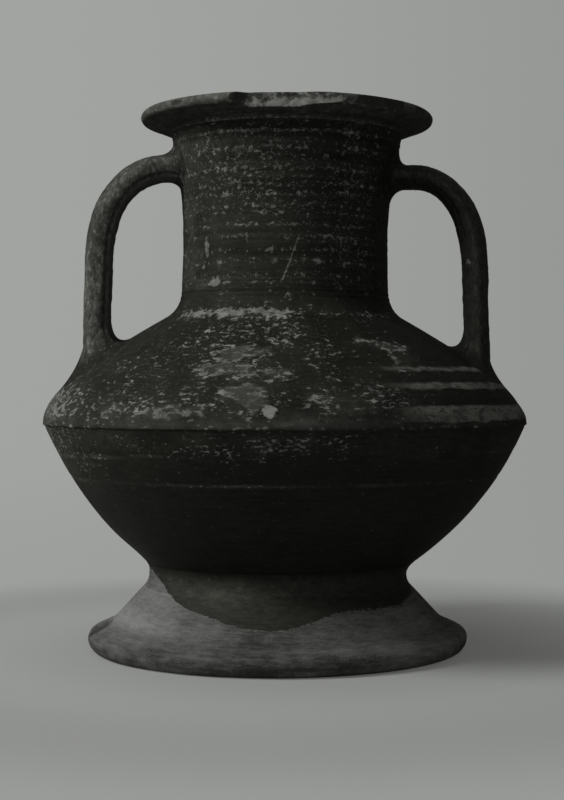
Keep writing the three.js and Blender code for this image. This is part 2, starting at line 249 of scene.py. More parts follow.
def neck_radius(height):
    """Parabola each way from the waist: gentle below it, and spreading to the rim above it."""
    below = NECK_SPREAD * ((NECK_WAIST - height) / (NECK_WAIST - NECK_BASE)) ** 2
    above = (NECK_TOP_RADIUS - NECK_RADIUS) * ((height - NECK_WAIST) / (RIM_BASE - NECK_WAIST)) ** 2
    return NECK_RADIUS + np.where(height > NECK_WAIST, above, below)


def neck_line(inset, step):
    """The neck's line from the shoulder up to the rim, moved in by the inset."""
    height = run((0, NECK_BASE), (0, RIM_BASE), step)[:, 1]
    return np.stack([neck_radius(height) - inset, height], 1)


def rim_outside():
    """A hollow curve out of the neck, the slant under the flange, and half a circle round the lip."""
    lip = (RIM_RADIUS - LIP_ROUND, JAR_TOP - LIP_ROUND)
    under = (lip[0], lip[1] - LIP_ROUND)
    start = np.array([NECK_TOP_RADIUS, RIM_BASE])
    hollow = bend([start, start + HOLLOW_TURN, start + HOLLOW_END], 14)
    half = arc(lip, LIP_ROUND, LIP_ROUND, -np.pi / 2, np.pi / 2, 26)
    return chain(hollow, run(hollow[-1], under, 0.3), half)


WALL = chain(bowl_outside(), shoulder_outside(), neck_line(0, STEP), rim_outside()[:RIM_UNDERSIDE])
print("points up the wall:", len(WALL))

# %% [markdown]
# ## What the hands did
#
# No thrown pot is true. The foot sits to the left, the neck leans a little to the right and dips on that
# side, and the ribs and fingers left rings, grooves and soft lumps. Bump maps could fake this, but then
# the outline would stay perfect. So these are small changes of the radius, written once as functions of
# the angle and the height. Neighbouring pieces share them, so their joints still meet.

# %% Lean, tilt and lumps
FOOT_LEAN = sum(corners("foot"))[0] / 2 - 0.4  # how far the foot sits off the axis
RIM_LEAN = 0.9
RIM_TILT = np.tan(np.radians(0.5))
RIM_SAG = 0.35
VIEW_ANGLE = np.degrees(CAMERA_TURN)
LATTICE_ROWS = 512  # rows of random numbers for the lumps, and which of them lies at height 0
LATTICE_START = 40


def lean(height):
    """Sideways shift: the foot's, fading with a cube up the bowl, and the rim's, growing with a square."""
    below = np.clip((BODY_EDGE - height) / (BODY_EDGE - FOOT_TOP), 0, 1)
    above = np.clip((height - BODY_EDGE) / (JAR_TOP - BODY_EDGE), 0, 1)
    return FOOT_LEAN * below**3 + RIM_LEAN * above**2


def tilt(angle, radius, height):
    """Change of height: from the shoulder up the jar dips to the right, and the rim has sunk a little."""
    upper = ease((height - BODY_EDGE) / (NECK_BASE - BODY_EDGE))
    dip = RIM_TILT * radius * np.cos(angle - CAMERA_TURN) * upper
    return -dip - RIM_SAG * ease((height - NECK_WAIST) / (RIM_BASE - NECK_WAIST))


def away(angle, centre):
    """Signed distance round the jar from an angle in degrees, in degrees from -180 to 180."""
    return np.degrees(np.angle(np.exp(1j * (angle - np.radians(centre)))))


def near(angle, centre, width):
    """Bell round an angle: 1 there, fading over the width, both in degrees."""
    return np.exp(-((away(angle, centre) / width) ** 2))


def between(angle, start, end, soft):
    """1 from one angle to another, in degrees, with eased ends."""
    middle, half = (start + end) / 2, (end - start) / 2
    return ease((half - np.abs(away(angle, middle))) / soft + 0.5)


def level(height, centre, width):
    """Bell round a height."""
    return np.exp(-(((height - centre) / width) ** 2))


def lumps(angle, height, size, radius, seed):
    """Soft random lumps from -1 to 1. Random numbers sit at the corners of a lattice laid round the
    jar, about one lump size apart, and are eased between their neighbours. The lattice closes on itself."""
    cells = max(3, int(round(TURN * radius / size)))
    table = np.random.default_rng(seed).uniform(-1, 1, (cells, LATTICE_ROWS))
    across, up = np.broadcast_arrays(angle / TURN * cells, height / size + LATTICE_START)
    i, j = np.floor(across).astype(int), np.floor(up).astype(int)
    s, t = ease(across - i), ease(up - j)
    here, ahead = i % cells, (i + 1) % cells
    below, above = j % LATTICE_ROWS, (j + 1) % LATTICE_ROWS
    low = table[here, below] * (1 - s) + table[ahead, below] * s
    high = table[here, above] * (1 - s) + table[ahead, above] * s
    return low * (1 - t) + high * t


print("foot sits", round(float(FOOT_LEAN), 2), "mm off the axis")

# %% [markdown]
# ## Rings left by the wheel
#
# The rib leaves close, shallow rings up the neck, two raised cords under the rim, a groove where the
# neck's fillet ends and another at the edge of the belly. The shoulder has three flat steps that show best
# on the right. Each is a bell or a band of heights, strengthened or weakened round the jar.

# %% Turning marks
UPPER_CORD = RIM_BASE + 0.2
LOWER_CORD = RIM_BASE - 3.9
BOWL_GROOVE = BODY_EDGE - 19.2
# Each line is (height, half width, depth), and each step (lowest height, highest height, rise).
TURNED_LINES = [
    (UPPER_CORD, 0.55, 0.30),
    (LOWER_CORD, 0.60, 0.25),
    (NECK_BASE + 5.6, 0.45, -0.28),
    (NECK_BASE + 3.4, 0.40, -0.14),
    (BODY_EDGE - 0.3, 0.50, -0.07),
    (BODY_EDGE - 9.0, 0.60, -0.07),
    (BOWL_GROOVE, 0.50, -0.14),
]
SHOULDER_STEPS = [
    (NECK_BASE - 24.0, NECK_BASE - 22.4, 0.30),
    (NECK_BASE - 30.4, NECK_BASE - 28.0, 0.32),
    (BODY_EDGE + 2.4, BODY_EDGE + 8.0, 0.26),
]
STEP_SIDE = (-57, -2)  # the steps are sharp between these angles, in degrees
NECK_RINGS = (1.7, 13)  # size and seed of each set of uneven rings
NECK_FINE_RINGS = (0.8, 14)
SHOULDER_RINGS = (1.6, 15)
BOWL_RINGS = (2.2, 16)
# Each zone of rings is (start, softness there, end, softness there, depth, and the set).
RING_ZONES = [
    (NECK_BASE + 6, 4, RIM_BASE - 5, 3, 0.06, NECK_RINGS),
    (NECK_BASE + 6, 4, RIM_BASE - 5, 3, 0.035, NECK_FINE_RINGS),
    (BODY_EDGE + 3, 4, NECK_BASE - 4, 5, 0.05, SHOULDER_RINGS),
    (FOOT_TOP + 6, 6, BODY_EDGE - 3, 6, 0.035, BOWL_RINGS),
]
# Where the wall is fuller or flatter on one side: (rise, angle in degrees, its width, height, its width).
SWELLS = [
    (0.3, VIEW_ANGLE - 180, 38, BODY_EDGE + 12, 6),
    (-1.4, VIEW_ANGLE - 180, 40, FOOT_TOP + 7.5, 6.5),
    (-0.5, VIEW_ANGLE, 42, BODY_EDGE + 8.5, 5),
]


def facing(angle, centre):
    """1 on the side that faces an angle in degrees, falling to 0 on the far side."""
    return 0.5 + 0.5 * np.cos(angle - np.radians(centre))


def unit(values):
    """Lumps from -1 to 1 brought to the range from 0 to 1."""
    return 0.5 + 0.5 * values


def band(height, low, high, soft):
    """1 between two heights, with eased edges."""
    return ease((height - low) / soft + 0.5) * ease((high - height) / soft + 0.5)


def rings(angle, height, size, seed):
    """Uneven rings from -1 to 1: lumps so wide that four of them reach round the jar."""
    return lumps(angle, height, size, 4 * size / TURN, seed)


def relief(angle, height):
    """Height over the plain wall: bells at the turned lines, flat steps, uneven rings on neck, shoulder and
    bowl, places where the wall is fuller or flatter on one side, and soft lumps all over."""
    total = 0.10 * lumps(angle, height, 14, 60, 11) + 0.06 * lumps(angle, height, 5, 60, 12)
    for centre, width, depth in TURNED_LINES:
        total += depth * level(height, centre, width)
    sharp = 0.12 + 0.88 * between(angle, *STEP_SIDE, 14)
    for low, high, rise in SHOULDER_STEPS:
        total += rise * sharp * band(height, low, high, 0.9)
    for low, low_soft, high, high_soft, depth, ring_set in RING_ZONES:
        zone = ease((height - low) / low_soft) * ease((high - height) / high_soft)
        total += zone * depth * rings(angle, height, *ring_set)
    for rise, centre, width, middle, tall in SWELLS:
        total += rise * near(angle, centre, width) * level(height, middle, tall)
    return total


def wobble(angle, height):
    """Out-of-round: two and three slow waves round the jar that drift with the height."""
    return 0.16 * np.cos(2 * angle - 1.4 + height / 70) + 0.10 * np.cos(3 * angle - height / 45)


print("turned lines:", len(TURNED_LINES), "and steps:", len(SHOULDER_STEPS))

# %% [markdown]
# ## From points to a mesh
#
# Every piece ends up as a grid of points: rings of equally many steps. One helper turns any such grid into a
# closed mesh. It joins the last step to the first, and either joins the last ring to the first, as on a
# hollow ring of clay, or closes each end with a fan. If the faces come out inside out, their order is
# reversed: the signed volume of the mesh tells.

# %% Grid to mesh
SHARP_ANGLE = np.radians(38)


def closed_mesh(name, grid, loop, worn=0.0, thin=0.0):
    """Mesh over a grid of points [ring, step, xyz] in millimetres, with two values at each point for its
    finish. A cell between two rings is one four-sided face, and an end fan is made of triangles."""
    ring_count, steps, _ = grid.shape
    index = np.arange(ring_count * steps).reshape(ring_count, steps)
    ahead = np.roll(index, -1, axis=1)
    lower, upper = (index, np.roll(index, -1, axis=0)) if loop else (index[:-1], index[1:])
    lower_ahead, upper_ahead = (ahead, np.roll(ahead, -1, axis=0)) if loop else (ahead[:-1], ahead[1:])
    quads = np.stack([lower, lower_ahead, upper_ahead, upper], -1).reshape(-1, 4)
    points = grid.reshape(-1, 3)
    fans = np.zeros((0, 3), int)
    if not loop:
        points = np.vstack([points, grid[0].mean(0), grid[-1].mean(0)])
        first = np.full(steps, ring_count * steps)
        first_fan = np.stack([first, ahead[0], index[0]], 1)
        last_fan = np.stack([first + 1, index[-1], ahead[-1]], 1)
        fans = np.vstack([first_fan, last_fan])
    a, b, c, d = (points[quads[:, k]] for k in range(4))
    volume = np.sum(np.cross(b - a, c - a) * a) + np.sum(np.cross(c - a, d - a) * a)
    if volume < 0:
        quads, fans = quads[:, ::-1], fans[:, ::-1]
    mesh = bpy.data.meshes.new(name)
    mesh.vertices.add(len(points))
    mesh.vertices.foreach_set("co", (points * MM).astype(np.float32).ravel())
    mesh.loops.add(quads.size + fans.size)
    mesh.loops.foreach_set("vertex_index", np.concatenate([quads.ravel(), fans.ravel()]).astype(np.int32))
    mesh.polygons.add(len(quads) + len(fans))
    starts = np.concatenate([np.arange(len(quads)) * 4, quads.size + np.arange(len(fans)) * 3])
    mesh.polygons.foreach_set("loop_start", starts.astype(np.int32))
    mesh.update(calc_edges=True)
    mesh.validate()
    for label, field in (("worn", worn), ("thin", thin)):
        values = np.broadcast_to(field, grid.shape[:2]).reshape(-1)
        values = np.concatenate([values, values[[0, -1]]])[: len(points)].astype(np.float32)
        mesh.attributes.new(label, "FLOAT", "POINT").data.foreach_set("value", values)
    mesh.shade_smooth()
    mesh.set_sharp_from_angle(angle=SHARP_ANGLE)
    made = bpy.data.objects.new(name, mesh)
    bpy.context.scene.collection.objects.link(made)
    print(f"{name}: {len(points)} points, {2 * len(quads) + len(fans)} triangles")
    return made


def turned(outside, inside, steps, cut=None):
    """Turn a line about the leaning axis. Outside points get the rings and lumps, all points get the
    out-of-round, and 'cut' may then break pieces off. Returns the grid, the angle, the height and skin,
    which is 1 on the outside, and what the cut laid bare."""
    line = np.vstack([outside, inside])
    skin = np.concatenate([np.ones(len(outside)), np.zeros(len(inside))])[:, None]
    angle = np.linspace(-np.pi, np.pi, steps, endpoint=False)[None, :]
    height = line[:, 1:] + 0 * angle
    plain = line[:, :1]
    radius = plain + skin * relief(angle, height) + wobble(angle, height) * plain / (plain + 8)
    bare = np.zeros_like(radius)
    if cut:
        radius, height, bare = cut(angle, radius, height)
    tilted = height + tilt(angle, radius, height)
    grid = np.stack([lean(height) + radius * np.cos(angle), radius * np.sin(angle), tilted], -1)
    return grid, angle, height, skin, bare


print("edges sharper than", round(float(np.degrees(SHARP_ANGLE))), "degrees stay sharp")

# %% [markdown]
# ## Where the slip has gone
#
# The slip wore off in specks, most of all on the left of the front, along the rings that stand proud, and
# at the edges, and round the specks it is thin and grey. The finish further down decides speck by speck
# with a fine noise. What it needs from the mesh is only how likely wear is at each point. So each piece
# carries two values: worn is 0 where the slip is whole and 1 where it has gone, and thin is how much of
# the clay shows through what is left. On bare clay, thin stands for how pale the clay is.

# %% Helpers for wear
LEFT_FRONT = -112  # the side, in degrees, on which the slip has worn most
BARE = 1.5  # a worn value that no fleck of slip can stand against


def haze(angle, height, size, radius, seed):
    """Soft random lumps from 0 to 1."""
    return unit(lumps(angle, height, size, radius, seed))


def blots(angle, height, radius, marks):
    """Strongest of a list of oval marks, each (angle in degrees, height, half width, half height,
    strength). A mark is a bell of the fourth power, flat on top and quick at its edge."""
    field = np.zeros(np.broadcast(angle, height).shape)
    for centre, middle, wide, tall, strength in marks:
        across = radius * np.radians(away(angle, centre)) / wide
        up = (height - middle) / tall
        field = np.maximum(field, strength * np.exp(-((across**2 + up**2) ** 2)))
    return field


print("wear is strongest at", LEFT_FRONT, "degrees")

# %% [markdown]
# ## The foot
#
# The foot is a hollow cone. The jar was dipped upside down, so the slip ends on it in an uneven line, low
# at the front and high at the sides, and the clay below is bare. Two slow waves round the foot give that
# line. On the left a piece of the toe has broken off: there the radius is held down to a rough break.

# %% Foot
ROUND_STEPS = 400
SLIP_EDGE = 25.1  # mean height of the slip's lower edge
SLIP_WAVES = [(-5.1, 3.5), (5.6, -0.8)]  # cosine and sine of each wave round the foot
SLIP_RAMP = 0.5  # over how many millimetres the slip ends
SOFT_RAMP = 1.6  # and how much more on the right, where it was wiped
TOE_CHIP = (-165, 8.2)  # angle in degrees and height of the broken place
TOE_CHIP_SIZE = (9.0, 2.8)  # half its width and half its height
TOE_CHIP_DEPTH = 1.6
TOE_CHIP_EDGE = 0.08  # the mark's strength at which the break starts
# Marks, here and on the other pieces: angle in degrees, height, half width, half height, strength.
FOOT_STAINS = [
    (-122, 6.5, 12, 1.6, 0.5), (-108, 5.5, 8, 1.2, 0.4), (-60, 6, 16, 1.6, 0.4), (-75, 12, 18, 1.2, 0.25),
]


def slip_edge(angle):
    """Height of the slip's lower edge: a mean, small lumps, two waves round the foot, and bells where the
    slip ran further down or stopped short."""
    edge = SLIP_EDGE + 0.6 * lumps(angle, 0 * angle, 9, 55, 21) + 0.25 * lumps(angle, 0 * angle, 3, 55, 22)
    for count, (across, along) in enumerate(SLIP_WAVES, 1):
        edge += across * np.cos(count * angle) + along * np.sin(count * angle)
    return edge - 3.0 * near(angle, -18, 20) + 2.5 * near(angle, -58, 12) - near(angle, -84, 14)


def bare_below_slip(angle, height):
    """More than 1 below the slip's edge and less than 0 above it, rising quickly between."""
    soft = SLIP_RAMP + SOFT_RAMP * near(angle, -30, 28)
    return np.clip(0.5 + (slip_edge(angle) - height) / soft, -0.5, 1.5)


def foot_film(angle, height, cloud_width):
    """How much clay shows through the slip on the foot: most at the front, with a grey cloud to its left."""
    cloud = near(angle, -108, cloud_width) * level(height, 28, 5) * haze(angle, height, 5, 50, 25)
    return 0.36 + 0.27 * near(angle, -95, 42) + 1.4 * cloud


def break_toe(angle, radius, height):
    """Hold the radius down to a rough hollow round the broken place on the toe."""
    mark = blots(angle, height, FOOT_LIP, [(*TOE_CHIP, *TOE_CHIP_SIZE, 1.0)])
    rough = 0.35 * lumps(angle, height, 2.2, FOOT_LIP, 23)
    cut = np.where(mark > TOE_CHIP_EDGE, mark * (TOE_CHIP_DEPTH + rough), 0)
    return radius - cut, height, np.clip(cut, 0, 1)


foot_line = foot_outside()
rest_inner = FOOT_LIP - TOE_UNDERCUT - REST_WIDTH
hollow_top = (FOOT_JOINT - FOOT_JOINT_WIDTH, FOOT_TOP)
foot_inside = chain(run(foot_line[-1], hollow_top, 4)[1:], run(hollow_top, (rest_inner, 0), 1.5))
foot_inside = chain(foot_inside, run((rest_inner, 0), foot_line[0], 2)[:-1])

grid, angle, height, skin, toe_break = turned(foot_line, foot_inside, ROUND_STEPS, break_toe)
# The clay is painted palest on the left, where it faces the lamp, as painted light, and is darker at the
# front; it is also streaked round the wheel, darker towards the table, stained in places and dark in the
# break.
lit = ease((height - 7) / 8) * (1 - 0.65 * ease((height - 12) / 9))
pale = 0.46 + 1.0 * near(angle, -152, 32) * lit - 0.38 * near(angle, -84, 28)
pale += 0.16 * lumps(angle, height, 12, 65, 24) + 0.14 * lumps(angle, height, 4, 65, 26)
pale += 0.22 * rings(angle, height, 1.1, 27) * haze(angle, height, 9, 65, 28)
pale = pale - 0.26 * ease((6.5 - height) / 3) - 0.6 * blots(angle, height, 70, FOOT_STAINS)
pale = pale - 0.6 * toe_break
# Below the slip's edge thin is the clay's paleness, and above it the film's.
bare = bare_below_slip(angle, height)
worn = np.where(skin > 0, bare - 0.3 * toe_break, BARE)
thin = np.where(bare > 0.5, pale, foot_film(angle, height, 24))
foot = closed_mesh("thrown_foot", grid, True, worn, thin)

# %% [markdown]
# ## The bowl
#
# The bowl is the dark lower half of the body. It is closed at the bottom by a flat floor, so its line
# starts and ends on the axis and the mesh has a pole at each end. Its slip is almost whole: specks and
# short streaks lie under the edge, the groove shows as a pale line, and the left side is paler: partly
# dull film, partly painted sheen at its edge.

# %% Bowl
AXIS_GAP = 0.4  # the rings stop this far from the axis, where a fan closes the mesh
BOWL_REACH = 89  # radius at which marks on the bowl are measured
BOWL_MARKS = [
    (-98, 80, 9, 2.2, 0.22), (-84, 81.5, 12, 2.4, 0.26), (-74, 83, 6, 1.6, 0.18), (-120, 82.5, 9, 1.8, 0.16),
    (-131, 76.3, 9, 0.9, 0.34), (-117, 77.6, 7, 0.6, 0.30), (-110, 77.0, 5, 0.4, 0.24),
    (-45, 80, 9, 2.0, 0.10), (-140, 72, 8, 4, 0.14), (-20, 79, 8, 4, 0.16), (-8, 74, 5, 4, 0.12),
]
BOWL_STREAKS = [
    (-148, 75.6, 12, 0.9, 0.9), (-139, 73.4, 10, 0.6, 0.8), (-129, 76.4, 10, 0.8, 1.0),
    (-152, 70.6, 8, 0.7, 0.6), (-115, 77.4, 9, 0.5, 0.8), (-22, 77.6, 9, 0.6, 0.7),
]

bowl_line = bowl_outside()
under = run((AXIS_GAP, FOOT_TOP), (FOOT_JOINT, FOOT_TOP), 4)[:-1]
inner_edge = (EDGE_JOINT - BODY_WALL, BODY_EDGE)
bowl_inside = bow((FOOT_JOINT, FLOOR), inner_edge, BOWL_BULGE, 30)[::-1]
bowl_inside = chain(run(bowl_line[-1], inner_edge, 2)[1:], bowl_inside)
bowl_inside = chain(bowl_inside, run((FOOT_JOINT, FLOOR), (AXIS_GAP, FLOOR), 3))

grid, angle, height, skin, _ = turned(np.vstack([under, bowl_line]), bowl_inside, ROUND_STEPS)
shell = skin * (height > FOOT_TOP + 0.01)  # the outside without the part that sits on the foot
# Specks: on the left, at the marks, along the groove and under the edge. Below its own edge the slip ends.
groove = level(height, BOWL_GROOVE, 0.5) * haze(angle, height, 12, 80, 32)
under_edge = level(height, BODY_EDGE - 4, 6)
flecked = haze(angle, height, 6, 88, 34) * (0.9 * near(angle, -88, 22) + 0.7 * near(angle, -160, 18))
worn = 0.012 + 0.20 * near(angle, -160, 24) * ease((height - 56) / 26)
worn += blots(angle, height, BOWL_REACH, BOWL_MARKS) * haze(angle, height, 4, 88, 31)
worn += 0.22 * groove * facing(angle, -95) ** 2 + 0.36 * flecked * under_edge
worn = np.maximum(worn, bare_below_slip(angle, height))
# Film: on the left, where it is also painted sheen, in clouds under the edge, in streaks and along the
# groove.
cloudy = haze(angle, height, 7, 88, 33)
streaks = blots(angle, height, BOWL_REACH, BOWL_STREAKS) * (0.4 + 0.6 * haze(angle, height, 3, 88, 35))
thin = 0.10 + 1.2 * near(angle, -166, 28) * ease((height - 50) / 26)
thin += 0.55 * under_edge * cloudy * facing(angle, -105)
thin += 0.5 * near(angle, -3, 18) * level(height, 80, 6) * cloudy
thin += 1.1 * streaks + 1.3 * groove * facing(angle, -95) ** 3
worn, thin = np.where(shell > 0, worn, BARE), np.where(shell > 0, thin, 0.4)
bowl = closed_mesh("thrown_bowl", grid, False, worn, thin)

# %% [markdown]
# ## The shoulder
#
# The shoulder is a cap with a small step out over the bowl, and its inside runs on from the bowl's. It could
# be turned in one with the bowl, but the potter threw it apart, and the seam shows below the edge. More
# points go round it than round the bowl, because its wear is finer.

# %% Shoulder
SHOULDER_ROUND = 520

shoulder_line = shoulder_outside()
bore = (NECK_FOOT_RADIUS - NECK_WALL, NECK_BASE)
cap_inside = shoulder_curve(inner_edge, (bore[0], NECK_BASE - BODY_WALL), 24)[::-1]
shoulder_inside = chain(run(shoulder_line[-1], bore, 3)[1:], run(bore, cap_inside[0], 3), cap_inside)
shoulder_wall = turned(shoulder_line, shoulder_inside, SHOULDER_ROUND)
print("rings and steps of the shoulder:", shoulder_wall[0].shape[:2])

# %% [markdown]
# ## Wear on the shoulder
#
# The shoulder shows the wear best: a dense drift of specks left of the middle, large patches rubbed down
# to the clay, a pale band above the edge, and grey film with painted highlight on the steps at the right.
# Each patch is an oval, placed as an angle and a height. No patch on the real jar has a clean outline, so
# lumps tear its edge, and areas of flecks join it to the next one. The drift is made of soft bells.

# %% Shoulder wear
SHOULDER_MARKS = [
    (-103, 115.6, 6, 0.8, 0.60), (-91, 112.0, 6, 0.9, 0.55), (-85.4, 93.6, 2.7, 1.5, 1.5),
    (-85, 92.0, 1.7, 1.2, 1.5), (-100, 94.4, 7, 1.4, 0.60), (-109, 94.6, 6, 1.4, 0.55),
    (-118, 92.6, 6, 1.6, 0.40), (-92, 92.2, 6, 1.2, 0.45), (-56, 99.8, 5, 1.0, 0.60),
    (-62, 96.4, 6, 1.1, 0.40), (-50, 106.8, 4, 0.6, 0.55), (-76, 98, 4, 1.6, 0.45),
    (-70, 93, 5, 2.0, 0.36), (-108, 119.5, 7, 1.0, 0.40), (-120, 112, 6, 1.2, 0.30),
    (-128, 108, 5, 0.8, 0.30), (-136, 101, 5, 1.0, 0.30),
]
RUBBED_PATCHES = [
    (-94.6, 112.4, 11.0, 2.4, 1.1), (-97, 107.0, 12.0, 2.4, 1.1), (-84, 106.0, 5.0, 1.8, 1.0),
    (-91, 98.4, 9.0, 3.0, 1.2), (-88, 96.0, 5.0, 2.0, 1.0), (-107, 92.6, 14.0, 3.2, 0.72),
    (-122, 93.0, 8.0, 2.4, 0.6), (-54, 117.6, 7.0, 0.9, 0.7), (-46, 115.2, 7.5, 2.3, 0.8),
    (-50, 111.6, 1.4, 2.4, 0.8), (-75, 97.0, 6.0, 3.0, 0.6),
]
FLECKED_AREAS = [
    (-96, 110, 18, 9.0, 0.33), (-89, 99, 17, 6.5, 0.34), (-82, 119, 9, 7.0, 0.36), (-71, 97, 13, 6.0, 0.34),
    (-113, 95, 22, 5.0, 0.32), (-71, 112, 9, 10.0, 0.26), (-126, 104, 16, 9.0, 0.26),
    (-58, 97.5, 10, 5.0, 0.36),
]
DULL_PATCHES = [(-50, 112, 9, 5, 1.0), (-60, 116, 6, 2, 0.8)]
PALE_SPOT = [(-85.3, 93.0, 2.4, 1.9, 1.0)]  # clay freshly laid bare
NECK_RIDGE = -2.6  # height of the ridge below the neck, from the neck's base


def neck_base_band(angle, height):
    """Wear along the ridge below the neck: a ragged bell of heights, chewed by lumps, on the front left."""
    ragged = height + 0.6 * lumps(angle, height, 3.5, 45, 73) - NECK_BASE
    chewed = haze(angle, height, 2.4, 45, 72)
    strong = level(ragged, NECK_RIDGE, 1.7) * between(angle, -140, -82, 10) * (0.30 + 0.70 * chewed)
    return strong + 0.40 * level(ragged, NECK_RIDGE, 0.9) * between(angle, -84, -20, 14) * chewed


grid, angle, height, skin, _ = shoulder_wall
radius = np.hypot(grid[..., 0], grid[..., 1])
# Where specks gather: drifts at three heights on the front, the tip at the far left, and the steps.
drift = haze(angle, height, 14, 75, 41) * (0.4 + 1.1 * haze(angle, height, 5, 75, 42))
drift = drift * (0.6 + 0.8 * unit(rings(angle, height, *SHOULDER_RINGS)))
high_drift = level(height, NECK_BASE - 9, 7) * between(angle, -134, -74, 18)
mid_drift = level(height, NECK_BASE - 24, 11) * near(angle, -92, 18)
low_drift = level(height, BODY_EDGE + 5, 5) * between(angle, -136, -62, 24)
tip = near(angle, -164, 22) * level(height, BODY_EDGE + 6, 8)
ragged = height + 0.40 * lumps(angle, height, 4, 85, 36) + 0.22 * lumps(angle, height, 1.6, 85, 37)
# The steps carry specks and pale bands: the bands are film and painted highlight on the ridges.
steps = sum(band(ragged, low + 0.3, high - 0.1, 1.1) for low, high, _ in SHOULDER_STEPS)
steps = steps * between(angle, -52, 40, 18) * (0.38 + 1.0 * haze(angle, 1.6 * height, 4.5, 85, 38))
# Small bald marks, and larger places with torn edges: rubbed ones and flecked ones.
patches = blots(angle, height, radius, SHOULDER_MARKS) * (0.55 + 0.45 * haze(angle, height, 3, 80, 44))
torn = height + 1.5 * lumps(angle, 2.4 * height, 5, 80, 48) + 0.8 * lumps(angle, 2.4 * height, 2.2, 80, 49)
rubbed = blots(angle, torn, radius, RUBBED_PATCHES)
rubbed = rubbed * (0.40 + 0.85 * haze(angle, 1.6 * height, 2.2, 80, 47))
flecked = blots(angle, torn, radius, FLECKED_AREAS)
flecked = flecked * (0.35 + 0.75 * haze(angle, 1.8 * height, 6, 75, 50))
# All of them together, with a milder drift on the back and a thin line of specks along the edge.
worn = 0.03 + 0.10 * facing(angle, LEFT_FRONT) ** 3 * (0.4 + 0.6 * drift) + 1.2 * tip
worn += (0.15 + drift) * (0.17 * high_drift + 0.19 * mid_drift + 0.20 * low_drift)
worn += 0.24 * drift * between(angle, 40, 160, 40) * level(height, NECK_BASE - 26, 16)
worn += 0.06 * near(angle, -56, 14) * drift + 0.42 * steps * haze(angle, height, 5, 85, 43)
worn = np.maximum.reduce([worn, patches, rubbed, flecked]) + neck_base_band(angle, height)
edge_line = level(height, BODY_EDGE + 0.9, 0.6) * haze(angle, height, 5, 93, 45)
worn += 0.30 * edge_line * facing(angle, -90)
# Film: on the tip and the rubbed places, and in clouds above the edge. On the steps it is film and painted
# highlight on the ridges.
cloudy = haze(angle, height, 8, 80, 46)
thin = 0.01 + 0.12 * facing(angle, LEFT_FRONT) ** 3 * cloudy + 0.08 * near(angle, -95, 22) * cloudy
thin += 0.7 * tip + 2.7 * steps * (0.6 + 0.4 * cloudy) + 1.25 * np.clip(rubbed - 0.25, 0, 1)
thin += 0.2 * level(height, BODY_EDGE + 4, 3.5) * cloudy
thin += 0.30 * level(height, BODY_EDGE + 8, 8) * near(angle, -78, 16) * cloudy
thin += 0.35 * level(height, BODY_EDGE + 1.8, 1.5) * facing(angle, -100) ** 2
thin += 0.20 * near(angle, -166, 34) * level(height, NECK_BASE - 19, 16)
thin += 0.25 * blots(angle, height, radius, DULL_PATCHES) * cloudy
thin = thin - 1.2 * blots(angle, height, radius, PALE_SPOT)
shoulder = closed_mesh("thrown_shoulder", grid, True, np.where(skin > 0, worn, BARE), thin)

# %% [markdown]
# ## The neck
#
# The neck is a plain tube, so everything here is in its surface: rings, rows of specks along their crests, a
# cluster of wear high on the left, one long scratch and a few bald spots. Inside, the slip runs a third of
# the way down and stops in an uneven line.

# %% Neck
NECK_ROUND = 560
NECK_MARKS = [
    (-123, 139.8, 2.6, 1.7, 0.95), (-121, 141.4, 1.0, 1.2, 0.80), (-128, 139.0, 2.4, 0.7, 0.70),
    (-130, 153.0, 1.1, 3.8, 1.0), (-132, 146.0, 0.9, 1.2, 0.60), (-107.5, 187.4, 2.2, 2.4, 0.50),
    (-107, 176.0, 1.2, 1.6, 0.60), (-64.5, 147.2, 2.0, 1.3, 0.70), (-100, 147.2, 1.8, 1.2, 0.50),
    (-88, 147.0, 1.6, 0.9, 0.50), (-52, 137.6, 1.8, 1.0, 0.50), (-75, 142.5, 4.0, 1.2, 0.26),
    (-62, 185.6, 1.8, 1.3, 0.50), (-56, 180.5, 1.0, 1.4, 0.50), (-49, 173, 1.6, 1.4, 0.45),
]
SPECK_ROWS = [189.0, 181.2, 175.8, 172.2, 167.7, 165.2, 160.6, 156.4, 151.2, 147.0, 142.2, 139.6]
FILM_LINES = [135.2, 137.6, 141.0, LOWER_CORD]  # turned lines that the clay greys
MOST_SPECKS = 0.40  # the most that drift and rows wear away together
SCRATCH_TOP = (-74.4, 157.5)  # angle in degrees and height of each end
SCRATCH_END = (-84.8, 139.0)
SCRATCH_WIDTH = 0.30
SLIP_INSIDE = 176.0


def scratch(angle, height):
    """Bell of the distance from a slightly bent line between the scratch's two ends on the neck."""
    share = np.clip((height - SCRATCH_END[1]) / (SCRATCH_TOP[1] - SCRATCH_END[1]), 0, 1)
    line = SCRATCH_END[0] + (SCRATCH_TOP[0] - SCRATCH_END[0]) * share**0.85
    off = NECK_RADIUS * np.radians(away(angle, line)) + 0.15 * lumps(angle, height, 3, 40, 51)
    ends = ease((height - SCRATCH_END[1]) / 0.6) * ease((SCRATCH_TOP[1] - height) / 0.6)
    return np.exp(-((off / SCRATCH_WIDTH) ** 2)) * ends


grid, angle, height, skin, _ = turned(neck_line(0, STEP), neck_line(NECK_WALL, 4)[::-1], NECK_ROUND)
